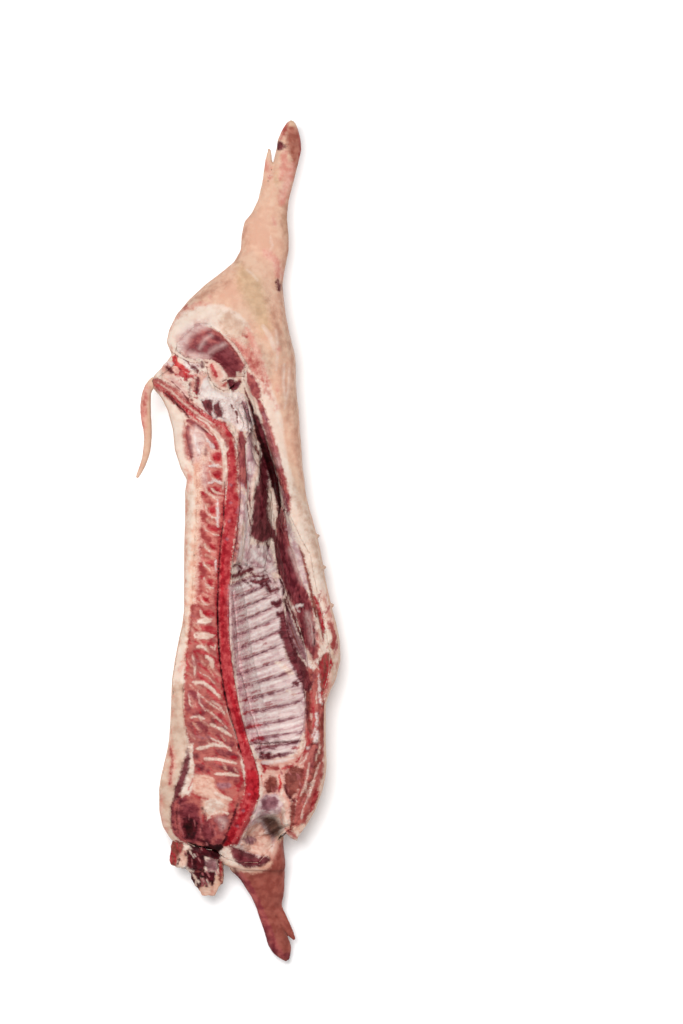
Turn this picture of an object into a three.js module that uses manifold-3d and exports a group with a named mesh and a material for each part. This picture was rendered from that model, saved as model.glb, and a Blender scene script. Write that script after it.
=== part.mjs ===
// Half a pig carcass, split down the backbone, without its head: skin on, both feet and the tail left on,
// opened along the belly and gutted. It lies on its skin side with the sawn side up.
//
// Frame, in millimetres: +Y runs to the hind foot, +X from the back to the belly, +Z up out of the sawn side.
// The origin is on the surface that the side lies on, below the middle of its bounding box.
//
// The side is described by long curves that run from the hind foot to the neck, one table row for each station
// along Y. Every solid below is a box or a cylinder whose vertices are moved onto those curves.
import * as THREE from "three";
import { mergeVertices } from "three/addons/utils/BufferGeometryUtils.js";
import Module from "manifold-3d";

// -------------------------------------------------------------------------------------------------
// Driving dimensions
// -------------------------------------------------------------------------------------------------
const CLEARANCE = 0.5; // gap between neighbouring solids
const BED_CLEARANCE = 2.5; // gap under a piece that lies in a bed
const FAT_OVER_FLANK = 17; // rind and fat on the outer side of the ribs, ham and shoulder
const LEAST_LEAN = 12; // thinnest lean left between the body cavity and the fat
const STATION_STEP = 46; // longest step between two rings of the outer surface
const HAM_FACE_TOP = 450; // where the bared ham muscle begins
const SHOULDER_FACE_END = -670; // where the bared lean of the shoulder ends
const VERTEBRA_PITCH = 38; // one vertebra and the disc beside it, in the loin
const RIBS = 14;
const RIB_RELIEF = 4; // how far each rib swells into the cavity

// Outline of the whole side: Y, left edge, right edge, height of the sawn side, lowest skin, height of the
// widest line, and how square the section is: below, above on the back side, above on the belly side.
const OUTLINE = [
  [875, 109, 114, 84, 77, 80, 2, 2, 2],
  [869, 102, 119, 92, 68, 80, 2, 2, 2],
  [855, 93, 125, 100, 60, 80, 2.2, 2, 2],
  [834, 84, 130, 105, 57, 81, 2.3, 2.2, 2.2],
  [813, 81, 131, 107, 58, 82, 2.3, 2.2, 2.2],
  [788, 75, 125, 107, 59, 83, 2.2, 2.1, 2.1],
  [751, 53, 116, 108, 59, 84, 2.1, 2, 2],
  [709, 43, 105, 110, 60, 85, 2, 2, 2],
  [682, 30, 102, 113, 59, 86, 2, 2, 2],
  [664, 15, 102, 118, 56, 87, 2, 2, 2],
  [636, 9, 105, 122, 52, 87, 2.1, 2.1, 2.1],
  [605, 7, 105, 124, 48, 86, 2.1, 2.1, 2.1],
  [580, -7, 100, 128, 42, 84, 2.1, 2.1, 2.1],
  [560, -31, 96, 134, 34, 82, 2.1, 2.2, 2.2],
  [532, -68, 92, 144, 22, 80, 2.2, 2.4, 2.4],
  [501, -101, 95, 155, 10, 80, 2.3, 3, 2.7],
  [470, -127, 99, 164, 2, 80, 2.4, 4, 3],
  [439, -142, 105, 170, -3, 82, 2.4, 6, 3.2],
  [414, -147, 111, 173, -5, 84, 2.4, 8, 3.2],
  [387, -136, 118, 172, -5, 84, 2.4, 9, 3.2],
  [364, -153, 120, 168, -4, 84, 2.4, 9, 3.2],
  [345, -172, 120, 164, -3, 86, 2.4, 8, 3.2],
  [331, -180, 120, 161, -2, 88, 2.4, 7, 3.2],
  [316, -174, 121, 158, -1, 86, 2.4, 7, 3.2],
  [300, -159, 122, 156, 0, 84, 2.4, 8, 3.2],
  [272, -145, 126, 152, 1, 80, 2.4, 9, 3.2],
  [231, -134, 128, 148, 3, 76, 2.4, 10, 3.2],
  [189, -130, 132, 145, 5, 74, 2.4, 10, 3.2],
  [152, -118, 134, 143, 6, 72, 2.4, 10, 3.2],
  [127, -105, 138, 142, 6, 72, 2.4, 10, 3.2],
  [102, -109, 140, 141, 6, 72, 2.4, 10, 3.2],
  [44, -109, 155, 141, 6, 72, 2.4, 10, 3.4],
  [-19, -111, 171, 142, 4, 72, 2.4, 10, 3.6],
  [-81, -111, 182, 144, 1, 74, 2.4, 10, 3.8],
  [-144, -111, 196, 147, -2, 76, 2.5, 10, 4],
  [-206, -122, 211, 149, -4, 78, 2.5, 10, 4],
  [-248, -130, 213, 151, -5, 79, 2.5, 10, 4],
  [-289, -136, 203, 153, -5, 80, 2.5, 10, 4.4],
  [-341, -138, 182, 154, -5, 80, 2.5, 10, 5],
  [-414, -142, 182, 155, -4, 80, 2.5, 10, 5],
  [-466, -153, 184, 154, -2, 79, 2.5, 10, 5],
  [-518, -163, 176, 150, 1, 77, 2.5, 10, 4.4],
  [-560, -163, 161, 143, 6, 74, 2.4, 9, 4],
  [-593, -156, 142, 134, 12, 70, 2.3, 7, 3.4],
  [-601, -152, 134, 131, 13, 69, 2.3, 6, 3.2],
  [-607, -148, 107, 129, 14, 68, 2.3, 6, 3],
  [-614, -144, 95, 127, 14, 68, 2.3, 6, 3],
  [-624, -136, 94, 122, 15, 66, 2.3, 5, 3],
  [-634, -111, 94, 117, 16, 64, 2.3, 5, 3],
  [-645, -55, 95, 112, 17, 62, 2.3, 5, 3],
  [-655, -41, 96, 108, 18, 60, 2.3, 4, 3],
  [-670, -36, 98, 103, 19, 58, 2.3, 4, 3],
  [-678, -20, 98, 99, 21, 57, 2.3, 4, 3],
  [-685, 1, 97, 93, 24, 56, 2.2, 3, 3],
];

// The edge of the fat on the sawn side: Y, back side, belly side. Lean, bone and the cavity lie between.
const FAT_EDGE = [
  [HAM_FACE_TOP, -84, -59],
  [445, -101, -45],
  [437, -113, -32],
  [424, -122, -20],
  [410, -126, -5],
  [395, -127, 5],
  [381, -126, 16],
  [364, -134, 22],
  [345, -161, 30],
  [331, -174, 41],
  [316, -163, 47],
  [300, -140, 51],
  [272, -120, 57],
  [241, -107, 64],
  [210, -104, 72],
  [179, -99, 80],
  [148, -87, 88],
  [106, -82, 99],
  [64, -84, 107],
  [23, -86, 122],
  [-19, -90, 149],
  [-81, -93, 161],
  [-144, -93, 174],
  [-206, -99, 188],
  [-248, -107, 194],
  [-289, -111, 186],
  [-341, -113, 174],
  [-414, -103, 171],
  [-466, -109, 163],
  [-518, -130, 149],
  [-560, -138, 132],
  [-593, -136, 118],
  [-603, -134, 101],
  [-614, -130, 82],
  [-624, -120, 78],
  [-634, -86, 75],
  [-645, -38, 72],
  [-657, -20, 66],
  [SHOULDER_FACE_END, 3, 45],
];

// The sawn side from the backbone to the belly edge: Y, then X and depth below the saw cut of seven long
// lines: the backbone's edge, the foot of its slope, the middle of the cavity wall, the deepest line, the top
// of the belly wall's slope, the crest of the skirt, and the lean beside the fat.
const CAVITY = [
  [364, -53, 0, -45, 2, -24, 4, -3, 6, 5, 5, 9, 3, 14, 1],
  [335, -78, 3, -66, 10, -32, 14, 5, 24, 18, 18, 24, 8, 30, 3],
  [293, -86, 4, -72, 12, -30, 20, 20, 44, 28, 30, 34, 12, 43, 4],
  [231, -14, 3, -1, 16, 20, 24, 43, 74, 51, 42, 57, 16, 61, 4],
  [168, -1, 3, 11, 22, 34, 36, 66, 92, 72, 48, 78, 18, 82, 5],
  [106, 3, 3, 20, 28, 47, 50, 80, 98, 88, 58, 93, 22, 97, 6],
  [44, -1, 3, 18, 32, 43, 58, 82, 102, 97, 62, 105, 28, 111, 8],
  [-8, -7, 3, 7, 30, 43, 64, 76, 100, 90, 70, 107, 42, 132, 12],
  [-71, -16, 3, 3, 44, 43, 80, 86, 104, 101, 72, 122, 48, 149, 16],
  [-144, -18, 3, 5, 54, 51, 90, 97, 106, 113, 74, 140, 48, 163, 18],
  [-227, -14, 3, 11, 58, 59, 92, 105, 104, 130, 68, 161, 46, 178, 20],
  [-300, -4, 3, 24, 56, 78, 88, 128, 92, 142, 60, 159, 36, 174, 16],
  [-362, 7, 3, 36, 50, 88, 78, 134, 74, 145, 42, 157, 26, 167, 14],
  [-414, 22, 3, 49, 38, 93, 58, 134, 52, 145, 32, 155, 22, 165, 12],
  [-451, 34, 3, 57, 24, 90, 36, 122, 32, 136, 24, 151, 18, 161, 10],
  [-487, 43, 3, 55, 12, 78, 18, 107, 18, 132, 13, 142, 11, 151, 7],
  [-539, 38, 3, 51, 14, 74, 22, 95, 19, 111, 8, 126, 6, 134, 4],
  [-566, 26, 3, 38, 18, 61, 26, 86, 24, 101, 9, 113, 6, 124, 4],
  [-589, 18, 4, 30, 36, 57, 56, 82, 60, 90, 22, 101, 10, 111, 6],
  [-614, 7, 5, 20, 36, 43, 48, 61, 52, 70, 44, 76, 30, 80, 20],
  [-643, -7, 4, 5, 20, 30, 28, 51, 26, 59, 20, 66, 12, 70, 6],
  [SHOULDER_FACE_END, 7, 1, 11, 2, 22, 3, 30, 3, 34, 2, 38, 1, 43, 1],
];

// Middle line of the split backbone from the tail's root to the neck: X, Y, half width of the sawn vertebrae.
const BACKBONE = [
  [-172, 327, 9],
  [-149, 318, 10],
  [-120, 295, 11],
  [-93, 270, 11],
  [-66, 250, 11],
  [-38, 231, 12],
  [-20, 204, 13],
  [-12, 168, 13],
  [-9, 127, 13],
  [-11, 75, 13],
  [-17, 12, 12],
  [-24, -40, 11],
  [-29, -102, 10],
  [-30, -164, 10],
  [-27, -227, 10],
  [-19, -289, 10],
  [-7, -352, 10],
  [8, -414, 11],
  [24, -466, 12],
  [31, -508, 12],
  [24, -555, 12],
  [8, -593, 12],
  [-7, -626, 10],
];

// Pieces of the sawn side, each between two rails of points X, Y that run the same way along it, with how
// finely it is divided, how deep it goes and how far it stands out.
const AITCH_BONE = {
  railA: [[-59, 354], [-49, 366], [-32, 364], [-16, 347], [-7, 329]],
  railB: [[-58, 345], [-51, 331], [-36, 318], [-20, 315], [-9, 320]],
  across: 3,
  along: 8,
  depth: 20,
  lift: 4,
};
const PELVIC_FAT = {
  railA: [
    [-107, 337], [-86, 354], [-61, 341], [-43, 314],
    [-7, 312], [11, 300], [18, 272], [26, 235],
  ],
  railB: [
    [-105, 322], [-82, 297], [-61, 270], [-43, 252],
    [-24, 237], [-9, 223], [1, 210], [11, 202],
  ],
  across: 5,
  along: 10,
  depth: 12,
  lift: 5,
};
const TENDERLOIN = {
  railA: [[1, 198], [3, 158], [7, 106], [5, 54], [-1, 2], [-9, -44]],
  railB: [[20, 208], [32, 164], [47, 127], [63, 75], [66, 12], [51, -52]],
  across: 5,
  along: 14,
  depth: 22,
  lift: 7,
};
const SKIRT = {
  railA: [
    [86, 69], [80, 23], [80, -19], [95, -77],
    [113, -129], [136, -189], [149, -237], [151, -272],
  ],
  railB: [
    [101, 67], [103, 23], [111, -15], [130, -75],
    [153, -127], [167, -189], [172, -237], [161, -277],
  ],
  across: 3,
  along: 16,
  depth: 12,
  lift: 5,
};
const RIB_WALL = {
  railA: [
    [-11, -102], [-7, -148], [-3, -198], [3, -252],
    [14, -306], [28, -358], [43, -410], [51, -447],
  ],
  railB: [
    [59, -71], [78, -110], [93, -156], [109, -212],
    [130, -270], [140, -333], [136, -395], [115, -439],
  ],
  across: 4,
  along: 3 * RIBS,
  depth: 14,
  lift: 1,
};
const BREASTBONE = {
  railA: [[149, -297], [145, -331], [147, -372], [147, -414], [134, -449], [113, -474]],
  railB: [[165, -293], [167, -331], [166, -372], [165, -414], [157, -449], [136, -476]],
  across: 3,
  along: 12,
  depth: 14,
  lift: 4,
};
const HAM_MUSCLE = {
  railA: [
    [-122, 399], [-120, 424], [-97, 442], [-68, 447],
    [-36, 433], [-9, 406], [11, 374], [18, 358],
  ],
  railB: [
    [-121, 393], [-105, 386], [-84, 381], [-61, 381],
    [-41, 376], [-22, 362], [-3, 347], [11, 345],
  ],
  across: 5,
  along: 12,
  depth: 22,
  lift: 6,
};

// Ragged trim left hanging at the neck: rails as above, with the height of its top and its thickness for
// each point.
const NECK_TRIM = {
  railA: [
    [-132, -618], [-136, -641], [-139, -659], [-136, -674], [-113, -680],
    [-97, -688], [-95, -707], [-82, -722], [-74, -738],
  ],
  railB: [
    [-34, -639], [-34, -653], [-34, -666], [-33, -676], [-32, -684],
    [-32, -695], [-32, -707], [-42, -722], [-48, -738],
  ],
  top: [112, 111, 108, 104, 100, 96, 91, 84, 78],
  thick: [44, 46, 46, 44, 42, 36, 28, 18, 8],
  across: 5,
  along: 14,
  furrows: 0.06,
};

// Point of the brisket, where the belly's edge ends in a flap over the shoulder.
const BRISKET_POINT = {
  railA: [[97, -584], [96, -597], [100, -607], [109, -615], [119, -623]],
  railB: [[141, -589], [137, -599], [131, -606], [126, -613], [123, -623]],
  top: [118, 113, 108, 103, 97],
  thick: [40, 36, 30, 22, 8],
  across: 3,
  along: 6,
  furrows: 0,
};

// Tail, hanging down along the back from its sawn root: X, Y, Z, radius.
const TAIL = [
  [-170, 333, 138, 10],
  [-180, 324, 134, 10],
  [-187, 312, 129, 9],
  [-190, 297, 124, 10.5],
  [-191, 277, 119, 11.3],
  [-190, 252, 113, 10.8],
  [-187, 231, 107, 9],
  [-187, 210, 103, 8],
  [-189, 189, 99, 7.8],
  [-193, 171, 96, 6.5],
  [-200, 152, 94, 5.5],
  [-207, 137, 94, 4],
  [-210, 131, 94, 2.5],
];

// Front leg, which comes out from under the shoulder: X and Y of its middle, half width, Z of its middle,
// half depth.
const FORE_LEG = [
  [24, -518, 46, 50, 34],
  [30, -570, 58, 53, 43],
  [32, -626, 61, 54, 46],
  [36, -659, 59, 52, 42],
  [48, -684, 50, 48, 36],
  [54, -705, 44, 44, 31],
  [60, -726, 37.5, 41, 28],
  [63, -747, 31, 38, 25],
  [65, -763, 25.5, 35, 22],
  [69, -780, 24.5, 33, 21],
  [74, -799, 23, 32, 20],
  [78, -817, 21, 31, 20],
  [83, -836, 21, 31, 20],
  [91, -851, 20, 31, 18],
  [96, -863, 14.5, 30, 13],
  [101, -874, 6, 30, 6],
  [102, -877, 3, 30, 3],
];

// Dewclaws: root X, Y, Z, tip X, Y, Z, radius at the root.
const DEWCLAWS = [
  { root: [62, 743, 92], tip: [66, 815, 98], radius: 10.5 },
  { root: [63, 743, 74], tip: [66, 807, 64], radius: 9 },
  { root: [82, -772, 44], tip: [117, -832, 50], radius: 12 },
  { root: [82, -772, 28], tip: [111, -830, 20], radius: 10 },
];

// -------------------------------------------------------------------------------------------------
// Curves
// -------------------------------------------------------------------------------------------------
const clamp01 = (t) => Math.min(1, Math.max(0, t));
const mix = (a, b, t) => a + (b - a) * t;
const ramp = (from, to, value) => {
  const t = clamp01((value - from) / (to - from));
  return t * t * (3 - 2 * t);
};

// A curve through the points that never swings past them: xs rise, ys follow.
function monotone(xs, ys) {
  const n = xs.length;
  const rise = xs.slice(1).map((x, i) => (ys[i + 1] - ys[i]) / (x - xs[i]));
  const slope = xs.map((_, i) => {
    if (i === 0) return rise[0];
    if (i === n - 1) return rise[n - 2];
    if (rise[i - 1] * rise[i] <= 0) return 0;
    return (2 * rise[i - 1] * rise[i]) / (rise[i - 1] + rise[i]);
  });
  return (x) => {
    const at = Math.min(xs[n - 1], Math.max(xs[0], x));
    let i = 0;
    while (i < n - 2 && at > xs[i + 1]) i += 1;
    const span = xs[i + 1] - xs[i];
    const t = (at - xs[i]) / span;
    const keep = 2 * t ** 3 - 3 * t ** 2 + 1;
    const leave = t ** 3 - 2 * t ** 2 + t;
    const arrive = t ** 3 - t ** 2;
    return keep * ys[i] + (1 - keep) * ys[i + 1] + span * (leave * slope[i] + arrive * slope[i + 1]);
  };
}

// Each column of a table as a curve over its first column, whichever way the rows run.
function curvesOf(table) {
  const rows = [...table].sort((a, b) => a[0] - b[0]);
  const at = rows.map((row) => row[0]);
  return rows[0].slice(1).map((_, column) => monotone(at, rows.map((row) => row[column + 1])));
}

// A smooth plan curve through points X, Y.
function planCurve(points) {
  return new THREE.CatmullRomCurve3(points.map(([x, y]) => new THREE.Vector3(x, y, 0)), false, "centripetal");
}

const outlineCurves = curvesOf(OUTLINE);
const [leftEdge, rightEdge, cutHeight, lowest, widest] = outlineCurves;
const [squareBelow, squareBack, squareBelly] = outlineCurves.slice(5);
const [fatBack, fatBelly] = curvesOf(FAT_EDGE);
const cavityCurves = curvesOf(CAVITY);

// -------------------------------------------------------------------------------------------------
// Surfaces of the side, as heights over the point (x, y)
// -------------------------------------------------------------------------------------------------
const superellipse = (reach, power) => Math.max(0, 1 - Math.min(1, Math.abs(reach)) ** power) ** (1 / power);

// How far x lies from the middle of the section: -1 at the back, 1 at the belly.
function reachOf(x, y) {
  const left = leftEdge(y);
  const right = rightEdge(y);
  return (2 * x - left - right) / (right - left);
}

// The skin side is flattened where the side rests on it.
function skinHeight(x, y) {
  return Math.max(0, widest(y) - (widest(y) - lowest(y)) * superellipse(reachOf(x, y), squareBelow(y)));
}

function cutFaceHeight(x, y) {
  const reach = reachOf(x, y);
  const power = reach < 0 ? squareBack(y) : squareBelly(y);
  return widest(y) + (cutHeight(y) - widest(y)) * superellipse(reach, power);
}

const innerFatHeight = (x, y) => skinHeight(x, y) + FAT_OVER_FLANK;

// Depth of the pelvis and the body cavity below the saw cut.
function cavityDepth(x, y) {
  const values = cavityCurves.map((curve) => curve(y));
  const across = [values[0] - 6];
  const depths = [0];
  for (let i = 0; i < values.length; i += 2) {
    across.push(Math.max(values[i], across.at(-1) + 1));
    depths.push(values[i + 1]);
  }
  across.push(Math.max(fatBelly(y), across.at(-1) + 1));
  depths.push(0);
  return monotone(across, depths)(x) * ramp(393, 347, y);
}

// The bared ham muscle lies a little below the fat around it.
const hamHollow = (y) => 6 * ramp(HAM_FACE_TOP, 441, y) * ramp(343, 372, y);

function faceHeight(x, y) {
  const floor = innerFatHeight(x, y) + LEAST_LEAN;
  return Math.max(floor, cutFaceHeight(x, y) - cavityDepth(x, y) - hamHollow(y));
}

// -------------------------------------------------------------------------------------------------
// Solids
// -------------------------------------------------------------------------------------------------
const wasm = await Module();
wasm.setup();

// A closed three.js geometry as a solid, with its faces pointing out.
function solidFrom(geometry) {
  geometry.deleteAttribute("normal");
  geometry.deleteAttribute("uv");
  const merged = mergeVertices(geometry, 1e-3);
  const corners = merged.index.array;
  const make = (flip) => {
    const triVerts = [];
    for (let i = 0; i < corners.length; i += 3) {
      const [a, b, c] = [corners[i], corners[i + 1], corners[i + 2]];
      if (a !== b && b !== c && c !== a) triVerts.push(...(flip ? [a, c, b] : [a, b, c]));
    }
    return new wasm.Manifold(
      new wasm.Mesh({
        numProp: 3,
        vertProperties: new Float32Array(merged.attributes.position.array),
        triVerts: new Uint32Array(triVerts),
      }),
    );
  };
  const solid = make(false);
  return solid.volume() < 0 ? make(true) : solid;
}

// The largest connected body of a solid: crumbs that a cut leaves beside it are dropped.
function largest(solid) {
  return solid.decompose().reduce((best, body) => (body.volume() > best.volume() ? body : best));
}

// How far a vertex at the start (0) or the end (1) of a span moves in from it.
function atEnds(share, inset) {
  if (share < 0.01) return inset;
  return share > 0.99 ? -inset : 0;
}

// Moves every vertex of a unit box, given as shares u, v and w from 0 to 1, to where place says.
function fromBox(divisions, place) {
  const geometry = new THREE.BoxGeometry(1, 1, 1, ...divisions);
  const position = geometry.attributes.position;
  for (let i = 0; i < position.count; i += 1) {
    position.setXYZ(i, ...place(position.getX(i) + 0.5, position.getY(i) + 0.5, position.getZ(i) + 0.5));
  }
  return solidFrom(geometry);
}

// Moves every vertex of a unit cylinder to where place says: the angle round it, the share along it, and 1 on
// the surface or 0 in the middle of an end.
function fromCylinder(sides, steps, place) {
  const geometry = new THREE.CylinderGeometry(1, 1, 1, sides, steps);
  const position = geometry.attributes.position;
  for (let i = 0; i < position.count; i += 1) {
    const [x, y, z] = [position.getX(i), position.getY(i), position.getZ(i)];
    const turn = (Math.round((Math.atan2(z, x) / (2 * Math.PI)) * sides) / sides) * 2 * Math.PI;
    position.setXYZ(i, ...place(turn, Math.round((0.5 - y) * steps) / steps, Math.hypot(x, z) > 0.5 ? 1 : 0));
  }
  return solidFrom(geometry);
}

// A round limb along rows of X, Y, half width, Z, half depth.
function limb(rows, sides, steps) {
  const middles = rows.map(([x, y, , z]) => new THREE.Vector3(x, y, z));
  const line = new THREE.CatmullRomCurve3(middles, false, "centripetal");
  const share = rows.map((_, i) => i / (rows.length - 1));
  const halfWidth = monotone(share, rows.map((row) => row[2]));
  const halfDepth = monotone(share, rows.map((row) => row[4]));
  return fromCylinder(sides, steps, (turn, t, radius) => {
    const middle = line.getPoint(t);
    const ahead = line.getTangent(t);
    const flat = new THREE.Vector3(-ahead.y, ahead.x, 0).normalize();
    const across = radius * halfWidth(t) * Math.cos(turn);
    const up = radius * halfDepth(t) * Math.sin(turn);
    return [middle.x + flat.x * across, middle.y + flat.y * across, Math.max(0.5, middle.z + up)];
  });
}

// The same solid with every vertex moved out along its normal.
function grown(solid, gap) {
  const { vertProperties, triVerts } = solid.getMesh();
  const geometry = new THREE.BufferGeometry();
  geometry.setAttribute("position", new THREE.Float32BufferAttribute([...vertProperties], 3));
  geometry.setIndex([...triVerts]);
  geometry.computeVertexNormals();
  const { position, normal } = geometry.attributes;
  for (let i = 0; i < position.count; i += 1) {
    position.setX(i, position.getX(i) + gap * normal.getX(i));
    position.setY(i, position.getY(i) + gap * normal.getY(i));
    position.setZ(i, position.getZ(i) + gap * normal.getZ(i));
  }
  return solidFrom(geometry);
}

// A loose flap between two rails, with its own heights and furrows on top.
function flap(shape) {
  const [railA, railB] = [planCurve(shape.railA), planCurve(shape.railB)];
  const share = shape.top.map((_, i) => i / (shape.top.length - 1));
  const top = monotone(share, shape.top);
  const thick = monotone(share, shape.thick);
  return fromBox([shape.across, shape.along, 2], (u, v, w) => {
    const [a, b] = [railA.getPoint(v), railB.getPoint(v)];
    const bulge = Math.sqrt(Math.sin(Math.PI * clamp01(u * 0.86 + 0.07)));
    const furrow = w > 0.6 ? shape.furrows * (Math.cos(u * 21 + v * 5) + 0.7 * Math.cos(v * 17 - u * 6)) : 0;
    const height = top(v) - thick(v) * (0.5 + (0.5 - w) * bulge - furrow);
    return [mix(a.x, b.x, u), mix(a.y, b.y, u), height];
  });
}

// --- rind and fat --------------------------------------------------------------------------------
const RING = 24;

// Rings stand at every station of the outline, with more between stations that lie far apart.
function ringStations() {
  const stations = [];
  OUTLINE.slice(1).forEach(([y], i) => {
    const from = OUTLINE[i][0];
    const parts = Math.max(1, Math.ceil(Math.abs(y - from) / STATION_STEP));
    for (let k = 0; k < parts; k += 1) stations.push(mix(from, y, k / parts));
  });
  return [...stations, OUTLINE.at(-1)[0]];
}

function outerSolid() {
  const stations = ringStations();
  const steps = stations.length - 1;
  return fromCylinder(RING, steps, (turn, t, radius) => {
    const y = stations[Math.round(t * steps)];
    const middle = (leftEdge(y) + rightEdge(y)) / 2;
    const half = (rightEdge(y) - leftEdge(y)) / 2;
    if (radius < 0.5) return [middle, y, (widest(y) + lowest(y)) / 2];
    const across = Math.cos(turn);
    const above = Math.sin(turn) > 1e-9;
    const level = Math.abs(Math.sin(turn)) < 1e-9;
    const power = above ? (across < 0 ? squareBack(y) : squareBelly(y)) : squareBelow(y);
    const x = middle + half * Math.sign(across) * Math.abs(across) ** (2 / Math.min(power, 3));
    if (level) return [x, y, widest(y)];
    return [x, y, above ? cutFaceHeight(x, y) : skinHeight(x, y)];
  });
}

// The room between the fat's inner edges, down to the fat over the flank. The lean fills it with a gap all
// round.
function roomInFat(gap) {
  return fromBox([7, 28, 1], (u, v, w) => {
    const y = mix(SHOULDER_FACE_END, HAM_FACE_TOP, v);
    const x = mix(fatBack(y), fatBelly(y), u);
    const side = atEnds(u, gap);
    const end = atEnds(v, gap);
    const fromHam = ramp(HAM_FACE_TOP, HAM_FACE_TOP - 50, y);
    const fromShoulder = ramp(SHOULDER_FACE_END, SHOULDER_FACE_END + 30, y);
    const under = mix(cutHeight(y) - 25, innerFatHeight(x, y), Math.sqrt(fromHam * fromShoulder));
    return [x + side, y + end, w > 0.5 ? 240 : under + gap * 2];
  });
}

// Everything below the sawn side, as deep as the floor.
function belowFace() {
  return fromBox([10, 38, 1], (u, v, w) => {
    const y = mix(SHOULDER_FACE_END - 4, HAM_FACE_TOP + 4, v);
    const x = mix(fatBack(y) - 4, fatBelly(y) + 4, u);
    return [x, y, w > 0.5 ? faceHeight(x, y) : -20];
  });
}

// --- pieces that lie in the sawn side ------------------------------------------------------------
// The rails of a band of even pieces along rows of X, Y, half width.
function bandRails(rows) {
  const line = planCurve(rows);
  const share = rows.map((_, i) => i / (rows.length - 1));
  const half = monotone(share, rows.map((row) => row[2]));
  const rail = (side) =>
    rows.map((_, i) => {
      const at = line.getPoint(share[i]);
      const ahead = line.getTangent(share[i]);
      return [at.x - side * ahead.y * half(share[i]), at.y + side * ahead.x * half(share[i])];
    });
  return { railA: rail(1), railB: rail(-1) };
}

// A piece between two rails, or with extra the wider and deeper cutter that makes its bed in a neighbour.
function inlay(shape, extra = 0) {
  const [railA, railB] = [planCurve(shape.railA), planCurve(shape.railB)];
  return fromBox([shape.across, shape.along, 1], (u, v, w) => {
    const [a, b] = [railA.getPoint(v), railB.getPoint(v)];
    const out = b.clone().sub(a).normalize();
    const ahead = new THREE.Vector3(-out.y, out.x, 0);
    const forward = railA.getTangent(v).dot(ahead) > 0 ? 1 : -1;
    const x = mix(a.x, b.x, u);
    const y = mix(a.y, b.y, u);
    const side = atEnds(u, -extra);
    const end = atEnds(v, -extra) * forward;
    const edge = clamp01(3 * Math.min(u, 1 - u)) * clamp01(0.4 * shape.along * Math.min(v, 1 - v));
    const relief = shape.relief ? shape.relief(v) : 0;
    const top = faceHeight(x, y) + (shape.lift + relief) * Math.sqrt(edge);
    const under = Math.max(innerFatHeight(x, y) + 5, faceHeight(x, y) - shape.depth * (0.6 + 0.4 * edge));
    const height = w > 0.5 ? (extra ? 250 : top) : under - (extra ? BED_CLEARANCE : 0);
    return [x + out.x * side + ahead.x * end, y + out.y * side + ahead.y * end, height];
  });
}

// Vertebrae swell between the discs, which are a little narrower and lower.
const backboneLength = planCurve(BACKBONE).getLength();
const backbone = {
  ...bandRails(BACKBONE),
  across: 2,
  along: 3 * Math.round(backboneLength / VERTEBRA_PITCH),
  depth: 24,
  lift: 2,
  relief: (v) => 1.5 * Math.cos((2 * Math.PI * v * backboneLength) / VERTEBRA_PITCH),
};

const ribWall = {
  ...RIB_WALL,
  relief: (v) => -RIB_RELIEF * Math.cos(2 * Math.PI * v * RIBS),
};

// --- the pieces, in the order in which they cut their beds into each other -----------------------
const shapes = {
  backbone,
  aitch_bone: AITCH_BONE,
  ham_muscle: HAM_MUSCLE,
  breastbone: BREASTBONE,
  skirt: SKIRT,
  tenderloin: TENDERLOIN,
  pelvic_fat: PELVIC_FAT,
  rib_wall: ribWall,
};

// The feet and flaps join the outer solid before the room for the lean is cut out of it.
const limbs = DEWCLAWS.map(({ root, tip, radius }) => {
  const rows = [0, 0.3, 0.6, 0.85, 1].map((t) => {
    const thick = radius * Math.sqrt(1 - 0.93 * t);
    return [mix(root[0], tip[0], t), mix(root[1], tip[1], t), thick, mix(root[2], tip[2], t), thick];
  });
  return limb(rows, 8, 4);
});
limbs.push(limb(FORE_LEG, 16, 20));
limbs.push(flap(BRISKET_POINT));
const whole = limbs.reduce((solid, part) => solid.add(part), outerSolid());
const solids = { skin_and_fat: largest(whole.subtract(roomInFat(0))) };

const room = roomInFat(CLEARANCE);
let beds = null;
Object.entries(shapes).forEach(([name, shape]) => {
  const piece = inlay(shape).intersect(room);
  const bed = inlay(shape, CLEARANCE);
  solids[name] = largest(beds ? piece.subtract(beds) : piece);
  beds = beds ? beds.add(bed) : bed;
});
solids.lean_meat = largest(belowFace().intersect(room).subtract(beds));

const tailRows = TAIL.map(([x, y, z, radius]) => [x, y, radius, z, radius]);
const wholeWithGap = grown(whole, CLEARANCE * 1.4);
const leanWithGap = grown(solids.lean_meat, CLEARANCE * 1.4);
solids.tail = largest(limb(tailRows, 8, 16).subtract(wholeWithGap));
solids.neck_trim = largest(flap(NECK_TRIM).subtract(wholeWithGap).subtract(leanWithGap));

// -------------------------------------------------------------------------------------------------
// Materials and the finished group
// -------------------------------------------------------------------------------------------------
const LOOKS = {
  skin_and_fat: ["#e2c3a6", 0.5],
  lean_meat: ["#c07a68", 0.42],
  backbone: ["#b8443a", 0.4],
  aitch_bone: ["#c9685a", 0.42],
  ham_muscle: ["#7c3a3c", 0.38],
  breastbone: ["#d9b9a2", 0.45],
  skirt: ["#7a2f32", 0.38],
  tenderloin: ["#a8605c", 0.4],
  pelvic_fat: ["#e9d9c4", 0.5],
  rib_wall: ["#bf9a98", 0.35],
  tail: ["#dcb897", 0.5],
  neck_trim: ["#b87868", 0.45],
};

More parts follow.
